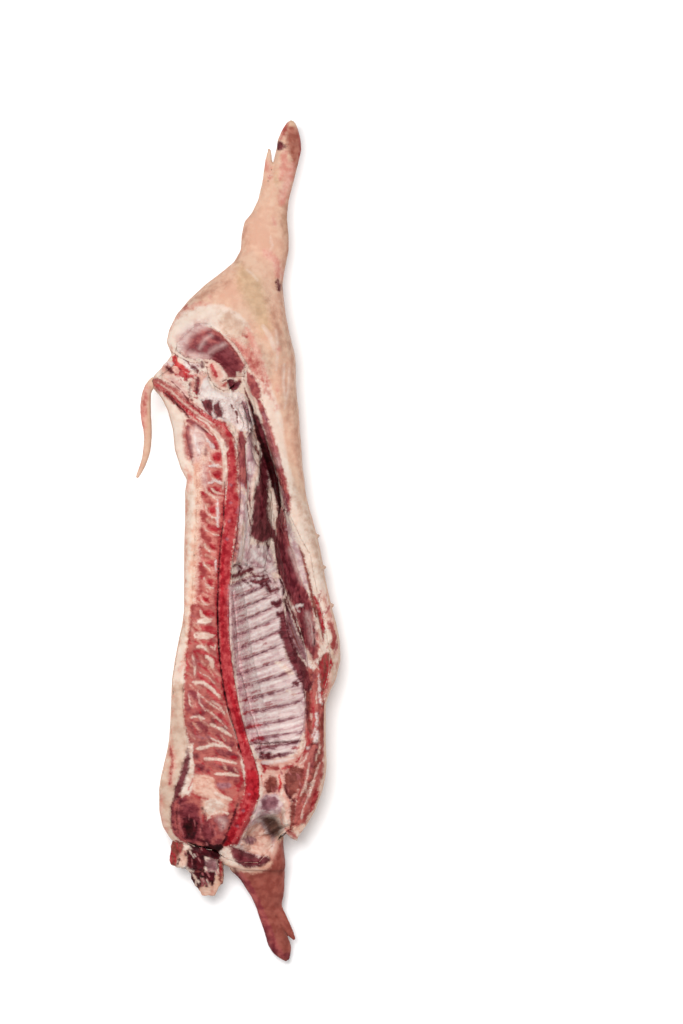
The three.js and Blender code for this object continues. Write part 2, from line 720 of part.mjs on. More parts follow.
const carcass = new THREE.Group();
carcass.name = "half_pig_carcass";
Object.entries(LOOKS).forEach(([name, [colour, roughness]]) => {
  const { vertProperties, triVerts } = solids[name].getMesh();
  const geometry = new THREE.BufferGeometry();
  geometry.setAttribute("position", new THREE.Float32BufferAttribute([...vertProperties], 3));
  geometry.setIndex([...triVerts]);
  geometry.computeVertexNormals();
  const material = new THREE.MeshStandardMaterial({ color: colour, roughness, metalness: 0 });
  const mesh = new THREE.Mesh(geometry, material);
  mesh.name = name;
  carcass.add(mesh);
});

export default carcass;
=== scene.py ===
# %% [markdown]
# # Half a pig, dressed
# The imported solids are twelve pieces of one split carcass, which lies on its skin with the sawn side up.
# They have the right form in flat facets. Here each gets even, fine faces, its small relief and its
# tissues: rind, fat, lean, membrane, blood and bone. The frame comes first, because every piece stays
# where its solid is.

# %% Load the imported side
import math
import random
import bmesh
import bpy
import numpy as np
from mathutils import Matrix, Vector, noise
from mathutils.bvhtree import BVHTree
from mathutils.kdtree import KDTree


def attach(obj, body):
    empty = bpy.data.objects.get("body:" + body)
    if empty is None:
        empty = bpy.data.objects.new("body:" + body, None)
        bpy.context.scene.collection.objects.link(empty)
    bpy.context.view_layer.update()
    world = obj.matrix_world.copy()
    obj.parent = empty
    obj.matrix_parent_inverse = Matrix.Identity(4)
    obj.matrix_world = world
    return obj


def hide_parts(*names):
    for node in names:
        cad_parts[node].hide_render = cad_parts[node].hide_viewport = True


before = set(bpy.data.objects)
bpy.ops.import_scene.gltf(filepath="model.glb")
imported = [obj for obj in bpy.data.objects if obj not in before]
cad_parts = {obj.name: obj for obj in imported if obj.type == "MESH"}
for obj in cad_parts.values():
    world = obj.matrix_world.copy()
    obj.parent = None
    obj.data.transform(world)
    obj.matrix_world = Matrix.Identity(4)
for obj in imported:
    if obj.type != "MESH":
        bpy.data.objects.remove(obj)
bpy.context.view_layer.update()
print("solids:", sorted(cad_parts))

# %% [markdown]
# ## Camera
# The side is seen square on, so the camera hangs straight above it. A long lens far away draws both ends
# at nearly the same scale, as in a catalogue picture. The whole height of the view is 2.13 m of meat and
# floor.

# %% Camera
MM = 0.001
VIEW_HEIGHT = 2130 * MM
SAWN_HEIGHT = 100 * MM  # the sawn side lies about this high
VIEW_CENTRE = Vector((216 * MM, 60 * MM, 15.0))

camera = bpy.data.objects.new("camera", bpy.data.cameras.new("camera"))
bpy.context.scene.collection.objects.link(camera)
camera.location = VIEW_CENTRE
camera.data.sensor_fit = "VERTICAL"
camera.data.angle = 2 * math.atan(VIEW_HEIGHT / 2 / (VIEW_CENTRE.z - SAWN_HEIGHT))
bpy.context.scene.camera = camera
print("lens", round(camera.data.lens), "mm")

# %% [markdown]
# ## Light and floor
# A product picture of meat has light from all round and hardly a shadow, so a white world does half of it.
# One broad lamp, nearly overhead and a little to the upper left, gives the forms their shade. Both
# together are half as strong again as white paper needs, which washes the shadow out of the floor. The
# pigments further down are darker by the same share.

# %% Light and floor
WORLD_LIGHT = 0.72
LAMP_WATTS = 160
LAMP_PLACE = (-0.5, 0.6, 4.0)
LAMP_AIM = (0.05, -0.1, 0)
PAPER = (0.96, 0.96, 0.96, 1)


def add(tree, kind, settings=None, links=None):
    """Adds a node, sets its options or inputs by name, and links its inputs."""
    node = tree.nodes.new(kind)
    for name, value in (settings or {}).items():
        if isinstance(name, str) and hasattr(node, name):
            setattr(node, name, value)
        else:
            node.inputs[name].default_value = value
    for name, source in (links or {}).items():
        tree.links.new(source, node.inputs[name])
    return node


world = bpy.data.worlds.new("white studio")
world.use_nodes = True
sky = world.node_tree.nodes["Background"].inputs
sky["Color"].default_value = (1, 1, 1, 1)
sky["Strength"].default_value = WORLD_LIGHT
bpy.context.scene.world = world
bpy.context.scene.view_settings.view_transform = "Standard"

lamp = bpy.data.objects.new("soft box", bpy.data.lights.new("soft box", "AREA"))
lamp.data.shape = "DISK"
lamp.data.size = 2.0
lamp.data.energy = LAMP_WATTS
lamp.location = LAMP_PLACE
lamp.rotation_euler = (Vector(LAMP_AIM) - lamp.location).to_track_quat("-Z", "Y").to_euler()
bpy.context.scene.collection.objects.link(lamp)

floor_mesh = bpy.data.meshes.new("floor")
bm = bmesh.new()
bmesh.ops.create_grid(bm, x_segments=2, y_segments=2, size=4)
bm.to_mesh(floor_mesh)
bm.free()
floor = bpy.data.objects.new("floor", floor_mesh)
bpy.context.scene.collection.objects.link(floor)

floor_paint = bpy.data.materials.new("white seamless paper")
floor_paint.use_nodes = True
paper = floor_paint.node_tree.nodes["Principled BSDF"].inputs
paper["Base Color"].default_value = PAPER
paper["Roughness"].default_value = 0.9
floor_mesh.materials.append(floor_paint)

# %% [markdown]
# ## Fine faces for a soft body
# Wet meat has no flat facets. A copy of each solid is merged and given a voxel remesh, which makes even
# faces of 1.4 to 3.1 mm, and then it is smoothed. Each round of smoothing is followed by a slightly
# stronger round the other way, so that facets melt and the volume stays. The remesh rounds off every rim,
# and rims are where knife or saw went through, so the points nearest to a rim of the solid are pulled back
# onto it and held.

# %% Remesh and smooth
RIM_ANGLE = 52  # degrees by which two facets meet where the real piece has an edge and not a bend
RIM_STEP = 0.6 * MM  # between the points that stand for a rim
RIM_REACH = 0.62  # of a face's width: points this near to a rim are pulled onto it
SAME_POINT = 0.02 * MM
SMOOTH, BACK = 0.6, 0.61  # strength of a round of smoothing, and of the round that undoes its shrinking


def arrays(mesh):
    """Places, edges and normals of a mesh as numpy arrays, in metres."""
    places = np.empty(len(mesh.vertices) * 3)
    mesh.vertices.foreach_get("co", places)
    edges = np.empty(len(mesh.edges) * 2, dtype=np.int64)
    mesh.edges.foreach_get("vertices", edges)
    normals = np.empty(len(mesh.vertices) * 3)
    mesh.vertices.foreach_get("normal", normals)
    return places.reshape(-1, 3), edges.reshape(-1, 2), normals.reshape(-1, 3)


def neighbour_mean(values, edges):
    """For each vertex, the mean of a value over the vertices joined to it."""
    a, b = edges.T
    n = len(values)
    count = np.bincount(a, minlength=n) + np.bincount(b, minlength=n)
    columns = values.reshape(n, -1).T
    total = [np.bincount(a, column[b], n) + np.bincount(b, column[a], n) for column in columns]
    return (np.stack(total, 1) / np.maximum(count, 1)[:, None]).reshape(values.shape)


def apply_modifiers(piece):
    """Makes the piece's modifiers part of its mesh."""
    done = piece.evaluated_get(bpy.context.evaluated_depsgraph_get())
    mesh = bpy.data.meshes.new_from_object(done)
    piece.modifiers.clear()
    piece.data = mesh


def rim_places(bm):
    """Points along the sharp edges of a solid."""
    found = []
    for edge in bm.edges:
        if edge.calc_face_angle(0) > math.radians(RIM_ANGLE):
            a, b = edge.verts[0].co, edge.verts[1].co
            steps = max(1, int((b - a).length / RIM_STEP))
            found += [a.lerp(b, i / steps) for i in range(steps + 1)]
    return found


def fine_copy(node, voxel):
    """A copy of a solid with even faces voxel mm wide, and the points of its sharp rims."""
    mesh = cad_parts[node].data.copy()
    mesh.materials.clear()
    bm = bmesh.new()
    bm.from_mesh(mesh)
    bmesh.ops.remove_doubles(bm, verts=bm.verts, dist=SAME_POINT)
    rims = rim_places(bm)
    bm.to_mesh(mesh)
    bm.free()
    piece = bpy.data.objects.new(node + "_flesh", mesh)
    bpy.context.scene.collection.objects.link(piece)
    remesh = piece.modifiers.new("even faces", "REMESH")
    remesh.mode = "VOXEL"
    remesh.voxel_size = voxel * MM
    apply_modifiers(piece)
    return piece, rims


def melt_facets(piece, rims, voxel, rounds):
    """Smooths a piece without shrinking it. Points beside a rim are pulled onto it and stay there."""
    places, edges, _ = arrays(piece.data)
    free = np.ones((len(places), 1))
    if rims:
        tree = KDTree(len(rims))
        for i, rim in enumerate(rims):
            tree.insert(rim, i)
        tree.balance()
        for i, place in enumerate(places):
            rim, _, distance = tree.find(place)
            if distance < RIM_REACH * voxel * MM:
                places[i] = rim
                free[i] = 0
    for _ in range(rounds):
        places = places + SMOOTH * free * (neighbour_mean(places, edges) - places)
        places = places - BACK * free * (neighbour_mean(places, edges) - places)
    piece.data.vertices.foreach_set("co", places.ravel())
    piece.data.update()

# %% [markdown]
# Most of each piece's surface lies in the bed of its neighbour, where nobody sees it. Those faces are
# found by the distance to the other solids and made coarse, which keeps every piece well under 200,000
# triangles.

# %% Coarse faces where a piece is bedded
def solid_tree(names):
    """A search tree over the faces of some of the solids."""
    places, faces = [], []
    for name in names:
        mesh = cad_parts[name].data
        start = len(places)
        places += [v.co.copy() for v in mesh.vertices]
        faces += [[start + i for i in face.vertices] for face in mesh.polygons]
    return BVHTree.FromPolygons(places, faces)


def coarsen_bed(piece, node, reach=3.6, keep_rings=4, share=0.1):
    """Thins the faces within reach mm of another solid to a share of their number. Outer rings stay."""
    tree = solid_tree([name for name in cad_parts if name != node])
    places, edges, _ = arrays(piece.data)
    near = np.array([tree.find_nearest(Vector(p), reach * MM)[0] is not None for p in places], float)
    for _ in range(keep_rings):
        near = np.where(neighbour_mean(near, edges) < 0.999, 0, near)
    bedded = np.flatnonzero(near > 0.5)
    piece.vertex_groups.new(name="bedded").add(bedded.tolist(), 1.0, "REPLACE")
    collapse = piece.modifiers.new("coarse bed", "DECIMATE")
    collapse.vertex_group = "bedded"
    collapse.ratio = 1 - (1 - share) * len(bedded) / len(places)
    apply_modifiers(piece)
    piece.vertex_groups.clear()
    triangles = sum(len(face.vertices) - 2 for face in piece.data.polygons)
    print(piece.name, "has", triangles, "triangles;", len(bedded), "of", len(places), "points were bedded")

# %% [markdown]
# ## Drawing tissues
# On the real side, fat, lean, blood and membrane meet along lines that a butcher could point at. Each is
# drawn here as areas and streaks in millimetres on the sawn side, and every vertex stores how far inside
# the nearest one it lies. The material turns those distances into ragged edges. That stays sharp at any
# zoom.

# %% Areas and streaks
PAINT = {}
FAR = 14.0  # mm outside a drawn shape at which a distance stops counting


def area(*xy):
    """A closed patch, through points x, y in mm."""
    return "area", 0.0, np.array(xy, float).reshape(-1, 2)


def streak(width, *xy):
    """A line that is width mm wide in the middle and runs out to a point at both ends."""
    return "streak", width, np.array(xy, float).reshape(-1, 2)


def paint(tissue, *shapes):
    """Adds shapes to a tissue. A bare (width, x, y, x, y ...) is a streak."""
    drawn = [shape if shape[0] == "area" else streak(*shape) for shape in shapes]
    PAINT.setdefault(tissue, []).extend(drawn)


def inside_area(points, ring):
    """How far each point lies inside a ring in mm, below zero outside."""
    nearest = np.full(len(points), 1e9)
    inside = np.zeros(len(points), bool)
    x, y = points.T
    for a, b in zip(ring, np.roll(ring, -1, 0)):
        along = b - a
        t = (((points - a) @ along) / max(along @ along, 1e-9)).clip(0, 1)
        nearest = np.minimum(nearest, np.hypot(*(points - a - t[:, None] * along).T))
        if a[1] != b[1]:
            crossing = (b[0] - a[0]) * (y - a[1]) / (b[1] - a[1]) + a[0]
            inside ^= ((a[1] > y) != (b[1] > y)) & (x < crossing)
    return np.where(inside, nearest, -nearest)


def inside_streak(points, width, line):
    """How far each point lies inside a tapering streak in mm, below zero outside."""
    best = np.full(len(points), -1e9)
    steps = np.hypot(*np.diff(line, axis=0).T)
    whole, run = steps.sum(), 0.0
    for a, b, step in zip(line[:-1], line[1:], steps):
        along = b - a
        t = (((points - a) @ along) / max(along @ along, 1e-9)).clip(0, 1)
        distance = np.hypot(*(points - a - t[:, None] * along).T)
        share = (run + t * step) / whole
        half = width / 2 * np.sqrt(np.maximum(0, 1 - np.abs(2 * share - 1) ** 4))
        best = np.maximum(best, half - distance)
        run += step
    return best


def strands(tissue, count, width, length, slant, ring, seed):
    """Scatters short thin streaks over an area, slant degrees from the side's long axis, give or take 12."""
    chance = random.Random(seed)
    ring = np.array(ring).reshape(-1, 2)
    low, high = ring.min(0), ring.max(0)
    while count:
        middle = np.array([chance.uniform(low[0], high[0]), chance.uniform(low[1], high[1])])
        turn = math.radians(slant + chance.uniform(-12, 12))
        reach = length / 2 * chance.uniform(0.5, 1.3) * np.array([math.sin(turn), -math.cos(turn)])
        bow = chance.uniform(-0.12, 0.12) * np.array([reach[1], -reach[0]])
        wide = width * chance.uniform(0.6, 1.5)
        if inside_area(middle[None], ring)[0] > 0:
            paint(tissue, (wide, *(middle - reach), *(middle + bow), *(middle + reach)))
            count -= 1


def inside(points, shapes):
    """How far each point lies inside the nearest of some shapes, in mm."""
    best = np.full(len(points), -FAR)
    for kind, width, line in shapes:
        low, high = line.min(0) - FAR - width / 2, line.max(0) + FAR + width / 2
        close = np.flatnonzero(((points > low) & (points < high)).all(1))
        if len(close):
            here = points[close]
            found = inside_area(here, line) if kind == "area" else inside_streak(here, width, line)
            best[close] = np.maximum(best[close], found)
    return best

# %% [markdown]
# ## The drawing, from the ham to the neck
# The tissues cover each other in a fixed order, skin and fat lowest and dark gaps, painted as shade, on top,
# so one drawing holds for all pieces and runs on over their joints. All numbers are millimetres on the sawn
# side, seen from above. A name with "all round" is drawn on the steep sides of feet, legs, tail and neck
# too.

# %% Where knife and saw went through the skin
paint("cut", area(-132, 460, -115, 478, -99, 485, -78, 489, -53, 491, -32, 489, -11, 480, 5, 470, 18, 456,
    30, 435, 38, 408, 47, 389, 55, 368, 63, 345, 70, 322, 78, 302, 86, 277, 93, 252, 97, 220, 101, 185,
    109, 148, 120, 114, 134, 85, 155, 69, 192, 2, 224, -123, 238, -248, 224, -331, 205, -414, 205, -518,
    184, -564, 155, -609, 122, -634, 97, -634, 95, -605, 82, -614, 78, -634, 72, -655, 57, -672, 34, -682,
    5, -684, -20, -680, -47, -697, -120, -684, -161, -643, -182, -560, -178, -456, -157, -331, -149, -227,
    -132, -123, -128, 127, -149, 189, -161, 293, -199, 310, -190, 352, -161, 381, -161, 418, -149, 443))

# %% Where the side is hollow: the flank, the chest and the pocket over the shoulder
paint("hollow", area(5, 335, 63, 352, 90, 252, 107, 148, 126, 85, 142, 2, 159, -81, 176, -164, 188, -248,
    167, -331, 159, -456, 147, -539, 122, -593, 97, -634, 51, -643, 43, -539, 22, -372, -3, -206, -11, -40,
    -3, 189))

# %% Ham: the bared muscle, its membrane and the fat round it
paint("lean", area(-120, 410, -113, 428, -99, 443, -78, 449, -55, 443, -34, 431, -14, 410, 3, 387, 16, 364,
    11, 349, -1, 337, -18, 339, -30, 354, -45, 372, -61, 379, -86, 381, -107, 389, -118, 397))
paint("wine", area(-103, 397, -86, 408, -66, 414, -49, 408, -36, 414, -24, 406, -3, 387, 9, 362, 1, 343,
    -16, 341, -28, 356, -43, 376, -61, 383, -82, 385), (10, -66, 433, -43, 420, -22, 401, -3, 381))
paint("haze", area(-128, 408, -122, 433, -105, 449, -82, 458, -57, 456, -49, 443, -74, 437, -93, 426,
    -103, 410, -107, 393, -122, 391), (3, -59, 389, -45, 399, -24, 408), (2, -78, 399, -66, 418, -53, 426),
    (10, -105, 391, -82, 383, -57, 381))
paint("cream", (4, -57, 447, -34, 433, -14, 412, 3, 389, 20, 360), (4, -120, 391, -103, 381, -82, 376,
    -61, 374, -47, 372), (4, -136, 397, -120, 383, -99, 372, -76, 370), (7, -18, 335, -3, 335, 7, 345,
    16, 356), (6, -43, 368, -32, 354, -22, 339))
paint("line", (2, -53, 439, -32, 424, -11, 401, 5, 379), (2, -140, 397, -122, 381, -99, 370, -72, 368),
    (2, -128, 397, -111, 383, -86, 376), (2, 14, 356, 14, 335, 18, 314))
paint("flesh", (5, 11, 426, 20, 422), (8, -120, 478, -111, 485, -103, 489))
paint("rosy", area(-20, 422, 1, 418, 22, 401, 43, 381, 57, 356, 55, 327, 38, 339, 22, 364, 1, 393),
    (10, -142, 435, -134, 456, -111, 478, -84, 489, -53, 493), (12, 18, 443, 34, 408, 51, 366, 66, 318),
    (4, -59, 510, -55, 493), (6, -142, 410, -136, 395, -128, 385), (6, 82, 285, 82, 268))
paint("blush", (8, -3, 410, 22, 381, 43, 347), (4, -118, 393, -99, 385, -84, 381))
paint("bloodied", area(-28, 431, 5, 424, 38, 397, 63, 352, 51, 327, 26, 352, -3, 393))

# %% Pelvis: split bone, fat, blood and the stumps of muscle
paint("rosy", area(-159, 362, -149, 372, -130, 370, -115, 358, -120, 341, -151, 337), area(-61, 368,
    -49, 372, -32, 356, -18, 335, -20, 318, -36, 316, -53, 335), area(-86, 347, -66, 347, -66, 318,
    -86, 297, -99, 318), (17, -3, 293, 5, 264, -3, 239))
paint("pale", area(-115, 379, -95, 368, -72, 366, -78, 356, -95, 352, -107, 360), area(-74, 331, -63, 339,
    -53, 316, -28, 306, 1, 310, 9, 293, 1, 268, 1, 243, -18, 248, -49, 254, -66, 268, -78, 289, -82, 306),
    (8, -155, 364, -145, 368, -132, 366), area(-16, 310, 9, 306, 26, 277, 34, 243, 26, 227, 1, 231,
    -16, 252))
paint("clot", (8, -147, 360, -138, 354, -132, 347), (7, -97, 362, -86, 358, -78, 347), (6, -74, 374,
    -72, 356), (10, -82, 341, -82, 322, -86, 302), area(-76, 291, -63, 297, -51, 289, -49, 272, -53, 258,
    -66, 270), area(-49, 285, -38, 289, -32, 272, -30, 256, -43, 254, -51, 268), (4, -99, 327, -97, 306,
    -93, 289), (17, -14, 335, -9, 322, -9, 310))
paint("mauve over", (8, -3, 316, 3, 329), (12, 9, 291, 16, 270, 22, 245))
paint("scarlet", (11, -130, 385, -128, 368, -115, 360, -97, 349), (6, -113, 356, -105, 341, -111, 331))
paint("red", (10, -120, 349, -103, 341, -88, 343), (6, -132, 343, -107, 341, -84, 343), (8, -55, 368,
    -49, 354, -41, 339))
paint("lean", area(18, 354, 28, 349, 38, 337, 47, 318, 49, 297, 41, 291, 30, 304, 20, 327))
paint("mauve", (15, 11, 285, 16, 264, 22, 239))
paint("cream", area(-38, 333, -28, 343, -18, 335, -30, 327), (3, -59, 358, -55, 337, -43, 318, -24, 314,
    -14, 320), (6, -90, 312, -86, 293), (10, 34, 268, 45, 264), (4, 18, 354, 20, 331, 28, 308, 38, 289),
    (8, -1, 352, 9, 339))
paint("flesh", (8, -30, 322, -22, 329), (6, -3, 322, 5, 339))
paint("dark", (8, -16, 331, -11, 316), (3, -101, 318, -99, 297))
paint("dry", (8, -7, 316, 1, 327, 9, 333), (6, -72, 379, -61, 368))
paint("line", (2, -63, 362, -59, 339, -47, 320, -28, 312, -16, 314), (2, -32, 331, -22, 335, -16, 327),
    (2, -16, 285, -3, 264, 1, 243))
paint("bloodied", area(-157, 368, -78, 372, -70, 314, -86, 297, -111, 314, -128, 339), area(-24, 302,
    26, 297, 26, 231, -11, 231), area(-82, 302, -24, 297, -24, 252, -66, 256))

# %% Crevice along the flank, darkened with painted shade, and the lean beside it
paint("line", (3, 14, 322, 20, 304, 28, 287))
paint("rosy", (8, 26, 272, 34, 243, 41, 210), (8, 51, 272, 61, 243))
# The dark, clot and slit strokes down the crevice are painted shade in the deep fold, over the dark red of
# the wet tissue there.
paint("dark", (8, 22, 297, 30, 272, 38, 243), (19, 30, 268, 47, 223, 61, 177, 76, 127, 86, 73))
paint("clot", (12, 36, 264, 49, 231, 57, 202))
paint("slit shade", (4, 30, 277, 38, 243, 49, 210), (10, 45, 218, 61, 173, 74, 131, 86, 85, 90, 56))
paint("lean", (12, 43, 293, 53, 270, 61, 245), (10, 72, 210, 78, 185, 88, 156, 93, 135), (8, 88, 148,
    97, 114, 105, 77))
paint("flesh", (15, 82, 160, 93, 131, 99, 102, 107, 60), (17, 55, 256, 66, 223, 76, 189, 88, 148))
paint("mauve", (6, 90, 114, 99, 85, 107, 52), (6, 53, 268, 63, 243))
paint("haze", (6, 55, 239, 63, 214), (6, 78, 185, 88, 156))

# %% From the tail's root to the loin: the sawn sacrum and its cords
paint("flesh", (27, -188, 333, -161, 324, -130, 302, -99, 272, -66, 252, -32, 235, -7, 198), (12, -99, 252,
    -70, 235, -51, 214, -38, 185))
paint("red", (8, -157, 314, -132, 295, -105, 270, -78, 250, -51, 233), (10, -107, 287, -82, 268, -53, 252,
    -28, 237, -14, 214), (5, -182, 327, -161, 322, -136, 310), (6, -66, 231, -51, 214, -41, 193))
paint("cream", (2, -165, 329, -136, 310, -107, 283, -78, 260, -49, 241), (6, -86, 258, -61, 243, -41, 218,
    -28, 185), (2, -99, 260, -70, 237, -51, 218), (4, -182, 341, -161, 339, -145, 331))
paint("rosy", (15, -153, 339, -128, 327, -107, 302, -90, 281, -66, 262, -36, 250))
paint("haze", (8, -140, 337, -120, 322, -103, 297), (10, -90, 277, -66, 262, -41, 252))
paint("line", (2, -136, 331, -115, 310, -99, 287, -78, 268), (3, -153, 310, -134, 293, -115, 275, -99, 254),
    (2, -90, 245, -72, 233, -57, 220))
paint("wine", (6, -153, 312, -134, 295, -115, 277, -99, 256), (4, -90, 243, -66, 229))

# %% Loin: grey loin muscle, the spines of the vertebrae and what lies between them
paint("rosy", area(-105, 256, -78, 252, -49, 231, -32, 202, -24, 127, -28, 44, -36, -40, -43, -135,
    -93, -135, -90, -40, -82, 85, -86, 148, -107, 210))
paint("apricot", (15, -82, 164, -82, 119, -80, 64), (15, -84, 85, -88, 2, -93, -81, -97, -148),
    (12, -70, 198, -70, 168, -78, 139))
paint("blush", area(-66, 144, -53, 185, -32, 189, -26, 106, -32, 2, -43, -135, -84, -135, -80, -60, -74, -8,
    -72, 44, -68, 98), (10, -109, 241, -107, 200, -99, 164))
paint("haze", area(-97, 231, -86, 239, -72, 225, -68, 198, -74, 175, -84, 168, -93, 193), (8, -70, 164,
    -70, 139, -66, 114))
paint("pale", (5, -90, 223, -86, 202, -78, 181), (5, -66, 214, -53, 198, -49, 189))
paint("lean", (10, -103, 243, -99, 206, -95, 168), (10, -105, 252, -86, 241, -63, 227), (12, -66, 227,
    -53, 210, -45, 191))
for x, y in [(-68, 85), (-70, 48), (-70, 10), (-72, -25), (-72, -62), (-74, -100), (-78, -133)]:
    paint("flesh", (12, x - 4, y + 17, x + 2, y, x + 17, y - 10))
paint("wine", (5, -99, 202, -95, 181, -93, 164), (6, -99, 250, -82, 239, -66, 227), (4, -74, 223, -66, 210),
    (6, -66, 193, -66, 177))
SPINES = [
    (-43, 173, 12, 12), (-43, 137, 10, 10), (-47, 104, 14, 9), (-53, 64, 9, 10), (-51, 25, 12, 8),
    (-55, -12, 9, 7), (-57, -48, 9, 8), (-57, -85, 8, 8), (-66, -121, 7, 7), (-61, -150, 11, 8),
]
for x, y, half, rise in SPINES:
    paint("red", area(x - half, y + rise * 0.4, x - half * 0.1, y + rise, x + half, y + rise * 0.8,
        x + half * 0.9, y - rise, x + half * 0.1, y - rise * 0.8))
    paint("blood", (rise, x - half * 0.5, y + rise * 0.1, x + half * 0.6, y - rise * 0.4))
    paint("cream", (3, x - half * 1.5, y + rise * 1.1, x - half * 1.2, y - rise * 0.4,
        x + half * 0.1, y - rise * 1.5, x + half, y - rise * 1.6))
    paint("apricot", (10, x - half * 1.2, y - rise * 1.2, x + half * 0.9, y - rise * 1.9))
paint("pale", (5, -41, 87, -41, 60, -41, 31), (4, -61, 119, -49, 125, -34, 121), (4, -61, 156, -49, 156,
    -36, 158), (3, -45, -40, -45, -64))
paint("cream", (4, -55, 110, -45, 100, -32, 98), (4, -53, 92, -43, 89))

# %% The sawn vertebrae, the canal and its cord
VERTEBRAE = [
    -32, 223, -20, 189, -20, 148, -22, 114, -24, 85, -28, 23, -33, -19, -36, -71,
    -38, -123, -38, -206, -34, -258, -28, -310, -14, -372, 1, -424, 14, -466, 18, -508,
    9, -539, -5, -580, -24, -632, -3, -634, 18, -593, 34, -557, 45, -528, 45, -487,
    36, -456, 24, -422, 9, -372, -1, -324, -9, -272, -18, -206, -18, -123, -14, -40,
    -3, 23, 3, 85, 1, 148, -3, 189, -16, 223,
]
paint("flesh", area(*VERTEBRAE))
paint("red", area(*VERTEBRAE[4:-6]), (12, -14, 210, -9, 148, -11, 73), (6, -20, 189, -18, 127, -20, 64))
paint("blood", area(20, -472, 41, -476, 45, -528, 26, -539, 18, -518), (8, -20, 23, -30, -40, -32, -123,
    -30, -227), (10, 26, -543, 11, -570, -9, -609), (10, -20, -289, -3, -356, 18, -424), area(-32, -630,
    -24, -605, -11, -589, 1, -597, -16, -636))
paint("cream", (6, -49, 235, -32, 206, -24, 164, -24, 110), (2, -32, 189, -28, 148, -30, 106))
paint("rosy", (6, -34, 198, -30, 148, -32, 85))
CANAL = [
    -26, 123, -26, 96, -29, 75, -28, 54, -31, 27, -34, 2, -38, -50, -41, -123,
    -40, -185, -36, -248, -30, -297, -20, -341, -9, -381, 5, -431, 14, -464,
]
paint("flesh", (17, *CANAL))
paint("red", (8, *CANAL))
# A line of painted shade down the open canal, where light does not reach.
paint("slit shade", (3, *CANAL))
paint("dark", (5, 1, -543, -9, -576, -22, -609, -32, -632))
paint("lean", (7, 1, 227, 5, 179, 6, 127, 5, 75, -1, 23, -9, -31))
DISCS = [
    (-14, 196), (-9, 154), (-11, 116), (-11, 79), (-14, 42), (-18, 4), (-22, -33),
    (-26, -71), (-28, -104), (-28, -137), (-28, -171), (-26, -206), (-22, -243), (-16, -281),
    (-7, -316), (1, -352), (9, -387), (20, -422), (28, -458), (30, -491), (28, -524),
    (16, -560), (3, -593),
]
for i, (x, y) in enumerate(DISCS):
    paint("wine", (2, x - 8, y, x + 8, y + 2))
    if i in (2, 3, 4, 5, 20, 21, 22):
        paint("mauve", (5, x - 6, y, x, y))

# %% Tenderloin, flank and the loose fat of the loin
paint("lean", (17, 7, 231, 9, 185, 9, 137, 11, 75), (9, 3, 89, 1, 40, -3, -8, -9, -48))
paint("blush over", (10, 57, 252, 68, 214, 82, 173))
paint("rosy", (4, 1, 210, 3, 168, 5, 131), (5, 1, 231, 5, 214))
paint("mauve", area(18, 227, 30, 227, 32, 189, 28, 148, 24, 114, 18, 131, 18, 179), (8, 51, 185, 59, 156,
    63, 110), (5, 26, 127, 24, 85))
paint("film", area(18, 202, 28, 210, 30, 181, 34, 160, 30, 131, 22, 123, 18, 156), area(5, 119, 16, 106,
    22, 75, 26, 27, 24, -2, 5, -40, -7, -52, 3, 2, 7, 64))
paint("cream", (7, 43, 193, 41, 160, 34, 127, 28, 85), (6, 5, 114, 16, 94, 22, 60, 22, 31), (8, 9, 44,
    9, -8, 1, -52), area(59, 79, 63, 102, 70, 110, 76, 89, 78, 60, 70, 35, 61, 52), (5, 72, 110, 80, 69,
    84, 10), (4, 32, 227, 36, 202), (3, 66, 60, 68, 31, 72, 6), (3, 59, 73, 59, 48, 63, 23))
paint("pale", (5, 14, 75, 18, 40, 11, 2), (5, 24, 164, 26, 139), (4, 5, 2, 3, -31), (3, 22, 123, 18, 98))
paint("blush", (4, 14, 60, 11, 23, 5, -15), (4, 18, 106, 22, 77))
paint("line", (2, 18, 85, 20, 60, 26, 31), (2, 24, 114, 24, 85, 28, 60), (2, 16, 218, 16, 168, 18, 114),
    (5, 36, 200, 41, 177), (2, 78, 98, 84, 60, 86, 23), (2, 22, 231, 32, 227))
MAROON = [
    45, 173, 59, 177, 63, 135, 61, 102, 59, 75, 61, 46, 78, 23, 84, 0, 68, 6,
    51, -6, 34, 2, 24, 10, 28, 33, 30, 69, 34, 106, 41, 135,
]
paint("clot", area(*MAROON), (12, 76, 10, 84, -23, 88, -73), (4, 38, 6, 41, -15), (4, 55, 2, 61, -19),
    (8, -11, -54, -3, -48, 9, -58, 1, -67), (12, -14, -75, 5, -69, 18, -62, 34, -58), (8, 22, -62, 36, -73,
    63, -75), (12, 24, -83, 47, -87, 66, -77), (10, 57, -87, 68, -106, 88, -100), (12, 68, -127, 82, -135,
    90, -123), (10, 80, -148, 90, -158, 99, -152), (5, 61, -98, 70, -110), (3, 5, -81, 30, -94))
paint("dark", (12, 55, 164, 53, 106, 47, 44), (8, 80, 2, 86, -31, 90, -69))
paint("film", area(26, -8, 51, -8, 66, -15, 74, -40, 80, -64, 51, -75, 22, -60, 1, -69, -7, -60, 9, -31))
paint("pale", (10, 26, -15, 38, -35, 59, -48), (8, 38, -60, 59, -64, 76, -56), (6, 5, -31, 18, -48),
    (8, 38, -8, 51, -23), (4, 55, -23, 68, -40))
paint("mauve", (6, 59, -19, 70, -33, 74, -52), (4, 26, -8, 30, -31), (6, 57, -40, 72, -44), (4, 18, -40,
    30, -48))
paint("red", (4, 86, -158, 97, -160), (6, 72, -129, 84, -127))

# %% The ribs under their membrane
RIB_ROOTS = [
    (-18, -94), (-16, -148), (-14, -202), (-7, -252), (1, -306), (11, -360), (26, -414), (45, -449),
]
RIB_TIPS = [
    (63, -58), (86, -104), (99, -152), (111, -206), (132, -264), (142, -331), (140, -395), (122, -439),
]
RIBS = 14
RIB_BOW = 3.0  # mm by which a rib sags in the middle


